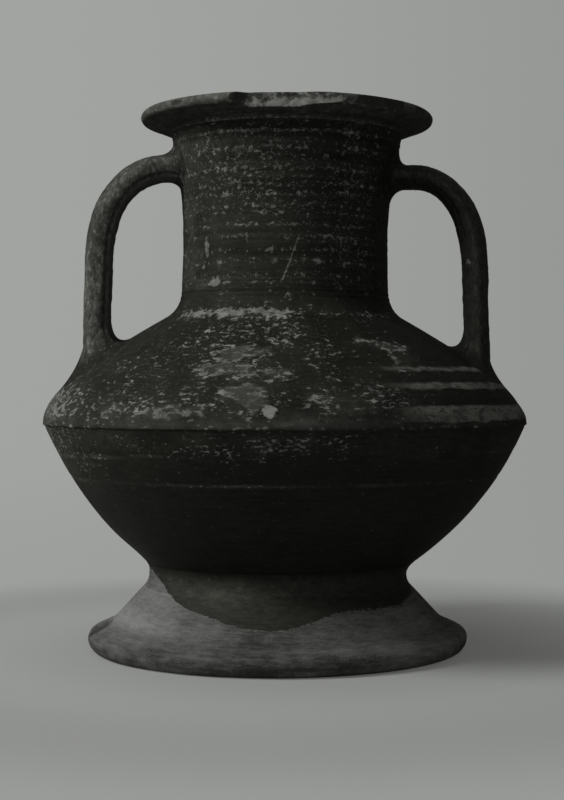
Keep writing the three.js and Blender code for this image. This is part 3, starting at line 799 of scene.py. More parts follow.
# Specks in drifts and in rows along the rings, most of them on the left, then the cord, marks and scratch.
drift = haze(angle, height, 11, 40, 52) * (0.4 + 0.8 * haze(angle, height, 5, 40, 53))
waver = height + 0.5 * lumps(angle, height, 6, 40, 58)
rows = sum(level(waver, row, 0.7) for row in SPECK_ROWS) * (0.3 + 1.2 * haze(angle, height, 5, 40, 59))
left = facing(angle, LEFT_FRONT) ** 2
upper = 0.35 + 0.65 * ease((height - 155) / 16)
worn = 0.03 + 0.12 * left * upper * (0.30 + 0.70 * drift)
worn += 0.40 * left * rows * haze(angle, height, 4, 40, 54)
worn += 0.06 * near(angle, -118, 36) * ease((height - 164) / 16) * (0.5 + drift)
worn += 0.66 * near(angle, -50, 17) * drift * (0.35 + rows) * ease((height - 140) / 10)
worn += between(angle, 30, 150, 40) * (0.20 * drift + 0.30 * rows * drift)
worn = np.minimum(worn, MOST_SPECKS)
worn += 0.55 * level(waver, LOWER_CORD, 0.55) * facing(angle, -90) ** 3 * (0.6 + 0.4 * drift)
scratched = 1.1 * scratch(angle, height) * (0.6 + 0.4 * haze(angle, height, 1.5, 40, 55))
worn = np.maximum.reduce([worn, blots(angle, height, NECK_RADIUS, NECK_MARKS), scratched])
# Film on the left, along turned lines and on the rings.
cloudy = haze(angle, height, 6, 40, 57)
front = facing(angle, -95)
lines = sum(level(waver, line, 0.35) for line in FILM_LINES)
thin = 0.22 + (0.14 * left + 1.0 * near(angle, -150, 24)) * cloudy + 0.7 * lines * front**3
thin += 0.12 * near(angle, -125, 34) * ease((height - 168) / 16)
turning = rings(angle, height, *NECK_RINGS) + 0.6 * rings(angle, height, *NECK_FINE_RINGS)
thin += 0.30 * front**2 * turning
dipped = ease((SLIP_INSIDE + 5 * lumps(angle, 0 * angle, 14, 34, 56) - height) / 1.5)
worn, thin = np.where(skin > 0, worn, BARE * dipped), np.where(skin > 0, thin, 0.3)
neck = closed_mesh("thrown_neck", grid, True, worn, thin)

# %% [markdown]
# ## The rim
#
# The rim is a flange with a round lip, and a bite has been broken out of its front. A boolean cut would leave
# a clean face. Instead the radius is held down to a rough wall of its own, so that every ring of points
# that reached further lands on the break. What the break laid bare gets the colour of clay, but the bite's
# left end is painted dark as shade.

# %% Rim
RIM_ROUND = 760
BITE_START = -104.5  # angles of the bite's two ends, in degrees
BITE_END = -58.0
BITE_DEPTH = 4.9
# Each nibble is (angle in degrees, depth, width in degrees).
NIBBLES = [
    (-50, 0.8, 4), (-44, 1.0, 3), (-37, 0.7, 4), (-128, 0.4, 3), (-20, 0.5, 4), (60, 0.9, 7), (150, 0.8, 6),
]
BREAK_SHOWS = 0.3  # from this much of a break on, its clay shows


def break_lip(angle, radius, height):
    """Hold the radius down to a rough wall: the lip's radius less the bite's depth, which rises quickly
    at the left end and slowly at the right, less a few small nibbles, with lumps of two sizes."""
    along = away(angle, BITE_START)
    depth = BITE_DEPTH * ease(along / 8) * ease((BITE_END - BITE_START - along) / 24) * (np.abs(along) < 90)
    for centre, deep, wide in NIBBLES:
        depth += deep * near(angle, centre, wide)
    rough = 0.45 * lumps(angle, height, 5, 52, 61) + 0.22 * lumps(angle, height, 1.6, 52, 62)
    wall = RIM_RADIUS - depth + rough * ease(depth / 1.2) - 0.10 * (height - RIM_BASE - 4)
    wall = np.where(depth > 0.15, wall, 2 * RIM_RADIUS)
    return np.minimum(radius, wall), height, ease((radius - wall) / 0.35)


rim_line = rim_outside()
mouth_end = (NECK_TOP_RADIUS - NECK_WALL, RIM_BASE)
mouth_mid = ((RIM_RADIUS - LIP_ROUND + mouth_end[0]) / 2, JAR_TOP - LIP_ROUND)
mouth = bend([rim_line[-1], mouth_mid, (mouth_end[0], RIM_BASE + LIP_ROUND), mouth_end], 40)
rim_inside = chain(mouth[1:], run(mouth_end, rim_line[0], 2)[:-1])

grid, angle, height, skin, broken = turned(rim_line, rim_inside, RIM_ROUND, break_lip)
radius = np.hypot(grid[..., 0], grid[..., 1])
# The lip's edge and the cord below it are worn, and the clay in the bite is palest along a streak.
edge = ease((radius - RIM_RADIUS + 2.2) / 1.6)
worn = 0.02 + 0.08 * facing(angle, LEFT_FRONT) * haze(angle, height, 6, 50, 63)
rubbed = edge * between(angle, -200, -104, 12)
worn += edge * (0.04 + 0.24 * between(angle, -64, -34, 14)) + 0.08 * rubbed
cord = level(height, UPPER_CORD, 0.5) * facing(angle, -95) ** 2
worn += 0.30 * cord * haze(angle, height, 5, 45, 64)
worn = np.where(skin > 0, worn, 0.05 + 0.25 * edge)
streak = level(height, RIM_BASE + 4.4 + 0.02 * away(angle, -90), 1.1)
unshaded_bite = broken * between(angle, -96, -58, 16)  # the bite's left end is painted dark: painted shade where the break faces away from the lamp
bare = unshaded_bite * (0.42 + 0.90 * streak) * (0.85 + 0.25 * lumps(angle, height, 3, 50, 65))
thin = 1.0 + 0.10 * facing(angle, LEFT_FRONT) + 0.3 * cord
thin += 0.5 * rubbed * (0.8 + 0.2 * lumps(angle, height, 5, 50, 66))
# Low on the rim, next to the neck, the film is painted paler, with a little wear: painted light for the light
# reflected up under the lip.
joint = 1 - ease((height - RIM_BASE) / 3.5)
worn += 0.18 * joint * facing(angle, LEFT_FRONT) ** 2
thin += joint * (0.60 + 0.25 * facing(angle, LEFT_FRONT) ** 2 - thin)
thin = np.where(skin > 0, thin, 0.15 + 0.75 * ease((radius - 43) / 11))
thin = np.where(broken > BREAK_SHOWS, 0.40 + unshaded_bite * (0.5 + 1.1 * streak), thin)
rim = closed_mesh("thrown_rim", grid, True, np.where(broken > BREAK_SHOWS, bare, worn), thin)

# %% [markdown]
# ## Clay pressed into the angles
#
# Where the bowl meets the foot, and the neck the shoulder, the potter pressed a coil of soft clay into the
# angle and smoothed it. Its face is an arc that touches both walls. The arc's ends dip a hair into the
# walls, so that no crack opens, and its back lies just inside them.

# %% Fillets at the foot and the neck
FOOT_FILLET = 7.5  # how far a fillet runs out of its angle along either wall
NECK_FILLET = 6.4
FILLET_POINTS = 34  # across a fillet's face
FILLET_BACK = 0.6  # how far its back lies behind the corner
DIP = 0.10


def one_long(vectors):
    """Vectors with the same directions and a length of one."""
    return vectors / np.linalg.norm(vectors, axis=-1, keepdims=True)


def fillet_line(corner, lower, upper, size):
    """Arc that touches two walls at the same distance from their corner, and a back inside the walls.
    Its radius is that distance times the tangent of half the angle between the walls."""
    corner = np.array(corner, float)
    lower, upper = one_long(np.array(lower, float)), one_long(np.array(upper, float))
    middle = one_long(lower + upper)
    half = np.arccos(middle @ upper)
    centre = corner + middle * size / np.cos(half)
    first, last = corner + lower * size - centre, corner + upper * size - centre
    angles = np.unwrap(np.arctan2([first[1], last[1]], [first[0], last[0]]))
    radius = size * np.tan(half)
    face = arc(centre, radius, radius, angles[0], angles[1], FILLET_POINTS)
    face = face - middle * np.linspace(1, -1, FILLET_POINTS)[:, None] ** 8 * DIP
    behind = corner - middle * FILLET_BACK
    back = chain(run(face[-1], behind, 2)[1:], run(behind, face[0], 2)[:-1])
    return face, back


foot_angle = (foot_line[-2] - foot_line[-1], bowl_line[1] - bowl_line[0])
face, back = fillet_line((FOOT_JOINT, FOOT_TOP), *foot_angle, FOOT_FILLET)
grid, angle, height, skin, _ = turned(face, back, ROUND_STEPS)
worn = np.maximum(bare_below_slip(angle, height), 0.01)
thin = foot_film(angle, height, 26) * (0.5 + 0.5 * ease((FOOT_TOP + 5 - height) / 6))
foot_fillet = closed_mesh("foot_luting", grid, True, worn, thin)

face, back = fillet_line((NECK_FOOT_RADIUS, NECK_BASE), (SLOPE_WIDTH, -SLOPE_DROP), (0, 1), NECK_FILLET)
grid, angle, height, skin, _ = turned(face, back, NECK_ROUND)
worn = 0.03 + 0.10 * facing(angle, LEFT_FRONT) ** 2 * haze(angle, height, 6, 42, 71)
worn += neck_base_band(angle, height)
thin = 0.08 + 0.34 * facing(angle, LEFT_FRONT) ** 2 * haze(angle, height, 6, 40, 57)
neck_fillet = closed_mesh("neck_luting", grid, True, worn, thin)

# %% [markdown]
# ## The handles
#
# Each handle is a pulled strap: out of the neck, over an arch, and down to the shoulder. It could be a
# bevelled curve, but its section isn't round. It is a flat oval with a thumb's groove down each side,
# nearer to the inner face, and a ridge beside the groove. So the section is carried along the path as a
# grid. The two straps aren't quite opposite: the left one stands a little round to the front.

# %% Straps
STRAP_STATIONS = 260
STRAP_SIDES = 128
STRAP_LENGTH = 150  # about how long a strap is, for the lumps down it
PATH_STEP = 0.2
LET_IN = 2.0  # how far a strap's foot lies inside the shoulder, and its root inside the neck
NECK_LET_IN = 3.5
SQUARENESS = 0.8  # 1 would be an ellipse, and less fills its corners
GROOVE_PLACE = -0.48  # where the thumb's groove runs, across the half thickness
GROOVE_WIDTH = 0.10
GROOVE_DEPTH = 0.55
EDGE_POINTS = 8  # points of the shoulder's line in the small step at its edge
LEFT_TURN = np.radians(14)
HALF_WIDTH = (corners("right_handle")[1][1] - corners("right_handle")[0][1]) / 2


def shoulder_height(radius):
    """Height of the shoulder's outside at a radius, read off its line from the neck out."""
    line = shoulder_line[:EDGE_POINTS:-1]
    return np.interp(radius, line[:, 0], line[:, 1])


def distance_along(points):
    """How far along a line each of its points lies."""
    return np.concatenate([[0], np.cumsum(np.linalg.norm(np.diff(points, axis=0), axis=1))])


def strap_path(root, arch, out, stub, power, tuck, splay):
    """Middle line in the plane of the axis, as (distance, height), in equal steps, with its outward normal
    and how far down the leg each step is. It runs straight out of the neck, over a quarter of a
    superellipse, and straight down the leg, which starts tucked in and ends splayed out."""
    start = float(neck_radius(root))
    elbow, knee, end = start + stub, out - tuck, out + splay
    swing = np.linspace(np.pi / 2, 0, 500)
    quarter = np.stack([np.cos(swing), np.sin(swing)], 1) ** (2 / power)
    over = quarter * [knee - elbow, arch] + [elbow, root - arch]
    over = chain(run((start - NECK_LET_IN, root), (elbow, root), PATH_STEP), over)
    line = chain(over, run((knee, root - arch), (end, shoulder_height(end)), PATH_STEP))
    gone = distance_along(line)
    even = np.linspace(0, gone[-1], STRAP_STATIONS)
    middle = np.stack([np.interp(even, gone, line[:, 0]), np.interp(even, gone, line[:, 1])], 1)
    along = one_long(np.gradient(middle, axis=0))
    leg = np.clip((even - gone[len(over) - 1]) / (gone[-1] - gone[len(over) - 1]), 0, 1)
    return middle, np.stack([-along[:, 1], along[:, 0]], 1), leg


def strap(root, arch, out, thickness, seed, **path):
    """Points of a strap as (distance from the axis, sideways, height), each [station, side of the section],
    and where each lies across the section. The section is a superellipse, a cosine and a sine raised to
    one power, with a bell taken out of its sides for the groove. Its thickness is given at the neck, at the
    top of the leg and at the foot."""
    middle, outward, leg = strap_path(root, arch, out, **path)
    share = np.linspace(0, 1, STRAP_STATIONS)[:, None]
    round_it = np.linspace(0, TURN, STRAP_SIDES, endpoint=False)[None, :]
    cosine, sine = np.cos(round_it), np.sin(round_it)
    across = np.sign(cosine) * np.abs(cosine) ** SQUARENESS
    half = np.interp(share, [0, 0.45, 1], thickness) / 2
    down = share * STRAP_LENGTH
    bumps = 0.20 * lumps(round_it, down, 14, 9, seed) + 0.12 * lumps(round_it, down, 4, 9, seed + 1)
    bumps += 0.07 * lumps(round_it, down, 1.8, 9, seed + 3)
    rise = half * across + bumps * cosine
    groove = GROOVE_DEPTH * np.exp(-(((across - GROOVE_PLACE) / GROOVE_WIDTH) ** 2))
    groove = groove * (0.8 + 0.3 * lumps(0 * share, down, 9, 9, seed + 2))
    wide = HALF_WIDTH * np.sign(sine) * np.abs(sine) ** SQUARENESS
    wide = wide * (1 - 0.02 * np.sin(TURN * share)) - np.sign(sine) * groove + 0.5 * bumps * sine
    far = middle[:, :1] + outward[:, :1] * rise
    height = middle[:, 1:] + outward[:, 1:] * rise
    foot_height = shoulder_height(np.hypot(far[-1:], wide[-1:])) - LET_IN
    leg = leg[:, None]
    height = np.where(leg > 0, (root - arch) * (1 - leg) + foot_height * leg, height)
    return far, wide, height, across + 0 * share


def placed(turn, far, wide, height):
    """Points of a handle in the jar's frame: turned about the axis to its side, and leaning with the jar."""
    x = far * np.cos(turn) - wide * np.sin(turn) + lean(height)
    return np.stack([x, far * np.sin(turn) + wide * np.cos(turn), height], -1)


def strap_sizes(name, slant, arch, thickness):
    """Height of a strap's root and its reach, from the box of its solid. The box ends where the oval does:
    at the root of the squares of its half thickness and half width, seen at the strap's slant."""
    low, high = corners(name + "_handle")
    root = high[2] - thickness / 2
    shift = float(lean(root - arch))
    edge = high[0] - shift if name == "right" else shift - low[0]
    return root, (edge - np.hypot(thickness / 2 * np.cos(slant), HALF_WIDTH * np.sin(slant))) / np.cos(slant)


# Arch and thickness of each solid, and how its real strap departs from that plain form.
SOLIDS = {"left": (36.0, 10.8), "right": (31.8, 9.4)}
TURNS = {"left": np.pi + LEFT_TURN, "right": 0.0}
LIFT = {"left": -0.1, "right": 0.35}
SHAPES = {
    "left": dict(arch=36.1, thickness=(10.2, 11.0, 10.6), stub=3.5, power=2.17, tuck=0.5, splay=0.4, seed=81),
    "right": dict(arch=39.0, thickness=(8.6, 10.2, 9.7), stub=6.2, power=2.3, tuck=0.7, splay=0.6, seed=91),
}
straps = {}
for name, slant in (("left", LEFT_TURN), ("right", 0.0)):
    root, out = strap_sizes(name, slant, *SOLIDS[name])
    straps[name] = strap(root=root + LIFT[name], out=out, **SHAPES[name])
    print(f"{name} strap: root {root:.1f} mm up, reach {out:.1f} mm")

# %% [markdown]
# ## Where the straps are worn
#
# The left strap is rubbed pale along its outer two thirds, in streaks that run with the pull, and grey on
# the ridge by its inner face. The right strap keeps its black slip, with a faint ridge of wear and one
# bald spot. Across the section, -1 is the inner face and 1 the outer one.

# %% Wear on the straps
RIGHT_SPOT = (-0.42, 148.3)  # place across the section, and height
RIGHT_SPOT_SIZE = (0.16, 1.0)


def streaked(across, height, seed):
    """Lumps drawn out along a strap: tight across it and long down it."""
    return lumps(across * 0.6, height, 16, 16 * 22 / TURN, seed)


def left_wear(across, height):
    """Worn and thin values on the left strap: pale outside the groove, dark in it, grey on the ridge."""
    outer = ease((across - GROOVE_PLACE - 0.05) / 0.14)
    ridge = ease((GROOVE_PLACE - 0.07 - across) / 0.10)
    streaks = unit(streaked(across, height, 84))
    worn = 0.05 + outer * (0.08 + 0.34 * streaks**2) + 0.08 * ridge
    return worn, 0.95 + outer * (1.15 * streaks - 0.15) + 1.6 * ridge


def right_wear(across, height):
    """Worn and thin values on the right strap: dark, darkest in the groove, with a soft ridge of wear."""
    ridge = np.exp(-(((across - 0.12) / 0.16) ** 2))
    groove = np.exp(-(((across - GROOVE_PLACE) / 0.22) ** 2))
    streaks = unit(streaked(across, height, 94))
    return 0.02 + 0.06 * ridge * streaks, 0.42 + 0.30 * ridge * streaks - 0.18 * groove


WEAR = {"left": left_wear, "right": right_wear}
strap_pieces = {}
for name, (far, wide, height, across) in straps.items():
    worn, thin = WEAR[name](across, height)
    if name == "right":
        over = (across - RIGHT_SPOT[0]) / RIGHT_SPOT_SIZE[0]
        up = (height - RIGHT_SPOT[1]) / RIGHT_SPOT_SIZE[1]
        worn = np.maximum(worn, 0.9 * np.exp(-((over**2 + up**2) ** 2)) * (wide < 0))
    grid = placed(TURNS[name], far, wide, height)
    strap_pieces[name] = closed_mesh(name + "_strap", grid, False, worn, thin)

# %% [markdown]
# ## Where the straps grow out of the wall
#
# The potter smeared each end of a strap on to the wall with a thumb. The smear's face is a Bezier curve for
# every side of the section: from the strap, towards the line where strap and wall cross, and out on to
# the wall. That crossing is found, side by side, as the first place where the strap stands clear of it.

# %% Smears at the handles' roots
SMEAR_FACE = 22  # points from the strap to the wall
SMEAR_BACK = 1.0  # how deep its back lies inside strap and wall, and inside the crossing
CROSSING_BACK = 1.2
WEAR_CHANGE = 1.8  # how soon, down a smear, the strap's wear gives way to the wall's
WALL_LENGTH = distance_along(WALL)


def pick(values, place):
    """Values [station, side] read at a fractional station for each side."""
    low = np.clip(np.floor(place).astype(int), 0, len(values) - 2)
    sides = np.arange(values.shape[1])
    part = place - low
    return values[low, sides] * (1 - part) + values[low + 1, sides] * part


def graded(pair, outside):
    """From the value for the inner face to the one for the outer face, by how far a side faces out."""
    return pair[1] + (pair[0] - pair[1]) * outside


def smear(turn, points, at_neck, up_strap, up_wall, fill, seed):
    """Closed skin of clay round a strap's end, as a grid [step, side of the section, xyz]. Its face is a
    Bezier curve from the strap over the crossing to the wall, and its back lies inside both. The lengths
    up the strap and along the wall, and how far the face is filled out from the crossing towards the
    chord, are pairs, for the strap's outer face and for its inner one."""
    far, wide, height = (values if at_neck else values[::-1] for values in np.broadcast_arrays(*points[:3]))
    clear = np.hypot(far, wide) - np.interp(height, WALL[:, 1], WALL[:, 0])
    after = np.argmax(clear > 0, axis=0)
    sides = np.arange(far.shape[1])
    inner, outer = clear[after - 1, sides], clear[after, sides]
    crossing = after - 1 + inner / (inner - outer)
    steps = np.sqrt(np.diff(far, axis=0) ** 2 + np.diff(wide, axis=0) ** 2 + np.diff(height, axis=0) ** 2)
    length = np.vstack([np.zeros(len(sides)), np.cumsum(steps, axis=0)])
    round_it = sides / len(sides) * TURN
    thumb = 1 + 0.07 * np.sin(3 * round_it + seed) + 0.06 * np.sin(5 * round_it + 2 * seed)
    outside = 0.5 + 0.5 * np.cos(round_it)
    goal = pick(length, crossing) + graded(up_strap, outside) * thumb
    top = np.sum(length < goal, axis=0) - 1
    top = top + (goal - length[top, sides]) / (length[top + 1, sides] - length[top, sides])
    strap_end = np.stack([pick(values, top) for values in (far, wide, height)], -1)
    corner = np.stack([pick(values, crossing) for values in (far, wide, height)], -1)
    swing = np.arctan2(corner[:, 1], corner[:, 0])
    around = np.hypot(corner[:, 0], corner[:, 1]) * swing
    up = np.interp(corner[:, 2], WALL[:, 1], WALL_LENGTH)
    rise = up - (up.max() + up.min()) / 2
    push = np.stack([around / around.max() ** 2, rise / rise.max() ** 2], -1)
    push = one_long(push) * (graded(up_wall, outside) * thumb)[:, None]
    wall_up = up + push[:, 1]
    wall_height = np.interp(wall_up, WALL_LENGTH, WALL[:, 1])
    wall_radius = np.interp(wall_up, WALL_LENGTH, WALL[:, 0])
    swing = swing + push[:, 0] / wall_radius
    wall_radius = wall_radius + relief(swing + turn, wall_height) + wobble(swing + turn, wall_height) - DIP
    wall_height = wall_height + tilt(swing + turn, wall_radius, wall_height)

    def on_wall(sink):
        """The smear's end on the wall, sunk into it."""
        sunk = wall_radius - sink
        return np.stack([sunk * np.cos(swing), sunk * np.sin(swing), wall_height], -1)

    inward = one_long(strap_end.mean(0) - strap_end)
    share = np.linspace(0, 1, SMEAR_FACE)[:, None, None]
    start, end = strap_end + inward * DIP, on_wall(0)
    pulled = corner + ((start + end) / 2 - corner) * graded(fill, outside)[:, None]
    face = start * (1 - share) ** 2 + pulled * 2 * share * (1 - share) + end * share**2
    shrink = CROSSING_BACK / np.linalg.norm(corner[:, :2], axis=1)[:, None] * [1, 1, 0]
    deep = corner * (1 - shrink) + inward * SMEAR_BACK
    back = np.stack([on_wall(SMEAR_BACK), deep, strap_end + inward * SMEAR_BACK])
    loop = np.concatenate([face, back])
    return placed(turn, loop[..., 0], loop[..., 1], loop[..., 2])


# Each smear: is it at the neck, lengths up the strap and along the wall, fill (outer, inner) and a seed,
# and then the worn and thin values of the wall that it runs out on.
SMEARS = {
    "left_neck": ((True, (8.0, 4.5), (5.0, 3.5), (0.2, 0.2), 1), (0.15, 0.35)),
    "left_shoulder": ((False, (9.0, 13.0), (12.0, 10.0), (0.5, 0.25), 2), (0.07, 0.18)),
    "right_neck": ((True, (5.5, 5.0), (10.0, 5.5), (0.2, 0.2), 3), (0.03, 0.10)),
    "right_shoulder": ((False, (5.0, 11.0), (10.0, 8.0), (0.4, 0.25), 4), (0.04, 0.06)),
}
smears = {}
for name, (shape, (wall_worn, wall_thin)) in SMEARS.items():
    side = name.split("_")[0]
    grid = smear(TURNS[side], straps[side], *shape)
    across = straps[side][3][:1]
    share = np.minimum(np.arange(len(grid)) / (SMEAR_FACE - 1), 1)[:, None]
    worn, thin = WEAR[side](across, grid[..., 2])
    keep = 1 - ease(share * WEAR_CHANGE)
    worn, thin = wall_worn + (worn - wall_worn) * keep, wall_thin + (thin - wall_thin) * keep
    smears[name] = closed_mesh(name + "_smear", grid, True, worn, thin)

# %% [markdown]
# ## Working with nodes
#
# A finish is a tree of nodes. Wiring them one at a time hides the idea, so this small class wraps an output
# socket and lets ordinary arithmetic add the Math nodes. Everything else goes through one method: the
# node's type, its settings, and what goes into its sockets.

# %% Node wrapper
class Signal:
    """A value that flows through a node tree. Arithmetic on it adds Math nodes."""

    def __init__(self, tree, socket=None):
        self.tree = tree
        self.socket = socket

    def node(self, kind, settings=(), inputs=(), output=0):
        """Add a node, set it up, then fill its sockets with signals or plain values."""
        made = self.tree.nodes.new("ShaderNode" + kind)
        for name, value in dict(settings).items():
            setattr(made, name, value)
        for name, value in dict(inputs).items():
            if isinstance(value, Signal):
                self.tree.links.new(value.socket, made.inputs[name])
            else:
                made.inputs[name].default_value = value
        return Signal(self.tree, made.outputs[output])

    def sibling(self, output):
        """Another output of the same node."""
        return Signal(self.tree, self.socket.node.outputs[output])

    def math(self, operation, first, second=0.0):
        """Add one Math node."""
        return self.node("Math", {"operation": operation}, {0: first, 1: second})

    def __add__(self, other):
        return self.math("ADD", self, other)

    def __radd__(self, other):
        return self.math("ADD", other, self)

    def __sub__(self, other):
        return self.math("SUBTRACT", self, other)

    def __rsub__(self, other):
        return self.math("SUBTRACT", other, self)

    def __mul__(self, other):
        return self.math("MULTIPLY", self, other)

    def __rmul__(self, other):
        return self.math("MULTIPLY", other, self)

    def __truediv__(self, other):
        return self.math("DIVIDE", self, other)

    def __rtruediv__(self, other):
        return self.math("DIVIDE", other, self)

    def __pow__(self, other):
        return self.math("POWER", self, other)


def ramp(signal, low, high):
    """0 below low, 1 above high, and eased in between."""
    limits = {"Value": signal, "From Min": low, "From Max": high}
    return signal.node("MapRange", {"interpolation_type": "SMOOTHSTEP"}, limits)


def blend(first, second, share):
    """Colour between two colours, each a signal or plain red, green and blue."""
    ends = {0: share}
    for place, colour in ((6, first), (7, second)):
        ends[place] = colour if isinstance(colour, Signal) else (*colour, 1.0)
    return share.node("Mix", {"data_type": "RGBA"}, ends, 2)


def noise(vector, scale, detail=2.0, rough=0.5):
    """Noise from 0 to 1, mostly near a half."""
    inputs = {"Vector": vector, "Scale": scale, "Detail": detail, "Roughness": rough}
    return vector.node("TexNoise", {}, inputs)


print("node wrapper ready")

# %% [markdown]
# ## Slip over clay
#
# The slip is a skin of fine black clay, dull and faintly greenish, thinner in some places than in others. The
# body under it is a grey, gritty clay. Both belong to one finish, because wear decides between them: a fine
# noise stands for how well each fleck of slip holds, and the slip has gone wherever the worn value beats
# it. The noise is laid round the wheel, not along x and y, so the flecks stretch the way the pot turned.

# %% Finish
# Each pair is the darkest and the lightest tone.
BLACK_SLIP = ((0.0080, 0.0085, 0.0062), (0.0215, 0.0228, 0.0168))
BOWL_SLIP = ((0.0080, 0.0085, 0.0063), (0.0180, 0.0190, 0.0145))
SHOULDER_SLIP = ((0.0060, 0.0064, 0.0047), (0.0162, 0.0170, 0.0125))
GREY_FILM = (0.066, 0.067, 0.056)  # slip so thin that the clay greys it
RUBBED_FILM = (0.110, 0.112, 0.098)
SHOULDER_FILM_AND_STEP_HIGHLIGHT = (0.135, 0.137, 0.120)  # film on the shoulder, and painted highlight on the steps at the right
GREY_CLAY = ((0.095, 0.096, 0.085), (0.290, 0.293, 0.270))
SHOULDER_CLAY = ((0.046, 0.047, 0.041), (0.300, 0.303, 0.280))
FOOT_CLAY = ((0.034, 0.035, 0.032), (0.260, 0.264, 0.250))
SLIP_ROUGHNESS = 0.56
CLAY_ROUGHNESS = 0.9
SHEEN_LEVEL = 0.06  # dull slip reflects less than glass would


def coordinates(tree, wheel):
    """Place on the piece in millimetres, and the same place laid out on the wheel. There x and y are drawn
    out to one radius, so that a noise runs round the jar without a seam, and the height also counts the
    radius, by the slope of the wall."""
    start = Signal(tree)
    place = start.node("TexCoord", {}, {}, "Object")
    place = start.node("VectorMath", {"operation": "SCALE"}, {0: place, "Scale": 1 / MM})
    if not wheel:
        return place, place
    x = start.node("SeparateXYZ", {}, {0: place})
    y, z = x.sibling("Y"), x.sibling("Z")
    radius = (x * x + y * y + 0.01) ** 0.5
    size, slope = wheel
    drawn = size / radius.math("MAXIMUM", radius, 0.6 * size)  # close to the axis it would fan out
    around = {"X": x * drawn, "Y": y * drawn, "Z": z + radius * slope}
    return place, start.node("CombineXYZ", {}, around)


def stretched(vector, scales):
    """The same place measured with a different yardstick along each axis."""
    return vector.node("VectorMath", {"operation": "MULTIPLY"}, {0: vector, 1: scales})


def new_material(name):
    """A material with nodes, its tree, and the Principled shader in it."""
    material = bpy.data.materials.new(name)
    material.use_nodes = True
    return material, material.node_tree, material.node_tree.nodes["Principled BSDF"]


def finish(
    name, wheel, speck=0.5, draw=1.2, slip=BLACK_SLIP, film=GREY_FILM, clay=GREY_CLAY,
    left=0.4, pale=0.1, middle=0.4, pitted=0.2, pricked=0.55, mottled=1.0,
):
    """Black slip over grey clay. The slip is mottled by a broad noise, grained by a fine one, and greyed to
    the film's tone where it is thin, in clouds with pits in them (pitted). The clay is streaked, grained
    and clouded (mottled), and paler where thin is high (pale) and well inside a worn place (middle). Wear
    mixes the two, in ragged flecks and in pinpricks (pricked), with a share of slip left in them (left).
    Flecks get smaller with speck, and flatter with draw. Wear also sets the roughness and small steps of
    height."""
    material, tree, shader = new_material(name)
    place, around = coordinates(tree, wheel)
    worn = place.node("Attribute", {"attribute_name": "worn"}, {}, "Fac")
    thin = place.node("Attribute", {"attribute_name": "thin"}, {}, "Fac")
    flecks = stretched(around, (1.0, 1.0, draw))
    hold = ramp(noise(flecks, speck, 3.0, 0.52), 0.28, 0.72)
    pinpricks = ramp(noise(flecks, speck * 2.6, 2.0, 0.6), 0.25, 0.75)
    depth = worn * 1.08 - hold
    gone = ramp(depth, -0.02, 0.06)
    gone = gone.math("MAXIMUM", gone, ramp(worn * pricked - pinpricks, -0.03, 0.05))
    mottle = ramp(noise(place, 0.09, 4.0, 0.6), 0.3, 0.7)
    clouds = ramp(noise(flecks, speck * 0.4, 5.0, 0.72), 0.34, 0.68)
    streaks = noise(stretched(around, (0.10, 0.10, 1.2)), 1.0, 4.0, 0.6)
    grain = noise(place, 2.2, 3.0, 0.7)
    slip_tone = mottle * 0.3 + ramp(streaks, 0.38, 0.64) * 0.5 + ramp(grain, 0.3, 0.7) * 0.4 - 0.1
    greyed = thin * (clouds * 0.45 + grain * 0.42 + 0.14) * (1 - ramp(hold, 0.45, 0.70) * pitted)
    slip_colour = blend(blend(slip[0], slip[1], slip_tone), film, greyed)
    clay_tone = ramp(streaks, 0.3, 0.7) * 0.2 + ramp(grain, 0.3, 0.7) * 0.35 + clouds * 0.35 - 0.45
    clay_tone = clay_tone * mottled + 0.15 + thin * pale + ramp(depth, 0.0, 0.3) * middle
    clay_colour = blend(clay[0], clay[1], clay_tone)
    share = gone * (1 - left * (1 - clouds))
    tree.links.new(blend(slip_colour, clay_colour, share).socket, shader.inputs["Base Color"])
    rough = SLIP_ROUGHNESS + (grain - 0.5) * 0.2 + thin * 0.1 + gone * (CLAY_ROUGHNESS - SLIP_ROUGHNESS)
    tree.links.new(rough.socket, shader.inputs["Roughness"])
    height = grain * 0.06 + streaks * 0.06 - gone * 0.05
    bump = {"Height": height, "Strength": 0.6, "Distance": MM}
    tree.links.new(place.node("Bump", {}, bump).socket, shader.inputs["Normal"])
    shader.inputs["Specular IOR Level"].default_value = SHEEN_LEVEL
    print("finish:", name, "-", len(tree.nodes), "nodes")
    return material


foot_finish = finish(
    "foot clay and slip", (60, -0.9), draw=2.6, clay=FOOT_CLAY, left=0.0, pale=0.5, middle=0.0, mottled=0.62
)
bowl_finish = finish("bowl slip", (75, 0.9), speck=0.65, slip=BOWL_SLIP)
shoulder_finish = finish(
    "shoulder slip", (75, -0.6), speck=0.42, draw=1.3, slip=SHOULDER_SLIP, film=SHOULDER_FILM_AND_STEP_HIGHLIGHT,
    clay=SHOULDER_CLAY, left=0.45, pale=-0.7, middle=0.65, pricked=1.0,
)
fillet_finish = finish("fillet slip", (44, -0.7), speck=0.45)
neck_finish = finish("neck slip", (40, 0), speck=0.62, draw=1.3, left=0.5, middle=0.3, pricked=0.88)
rim_finish = finish("rim slip", (48, 0.9), speck=0.55, film=RUBBED_FILM, left=0.45, mottled=0.6)
strap_finish = finish(
    "strap slip", None, speck=0.85, draw=0.6, slip=SHOULDER_SLIP, film=RUBBED_FILM,
    left=0.6, middle=0.1, pitted=0.4,
)
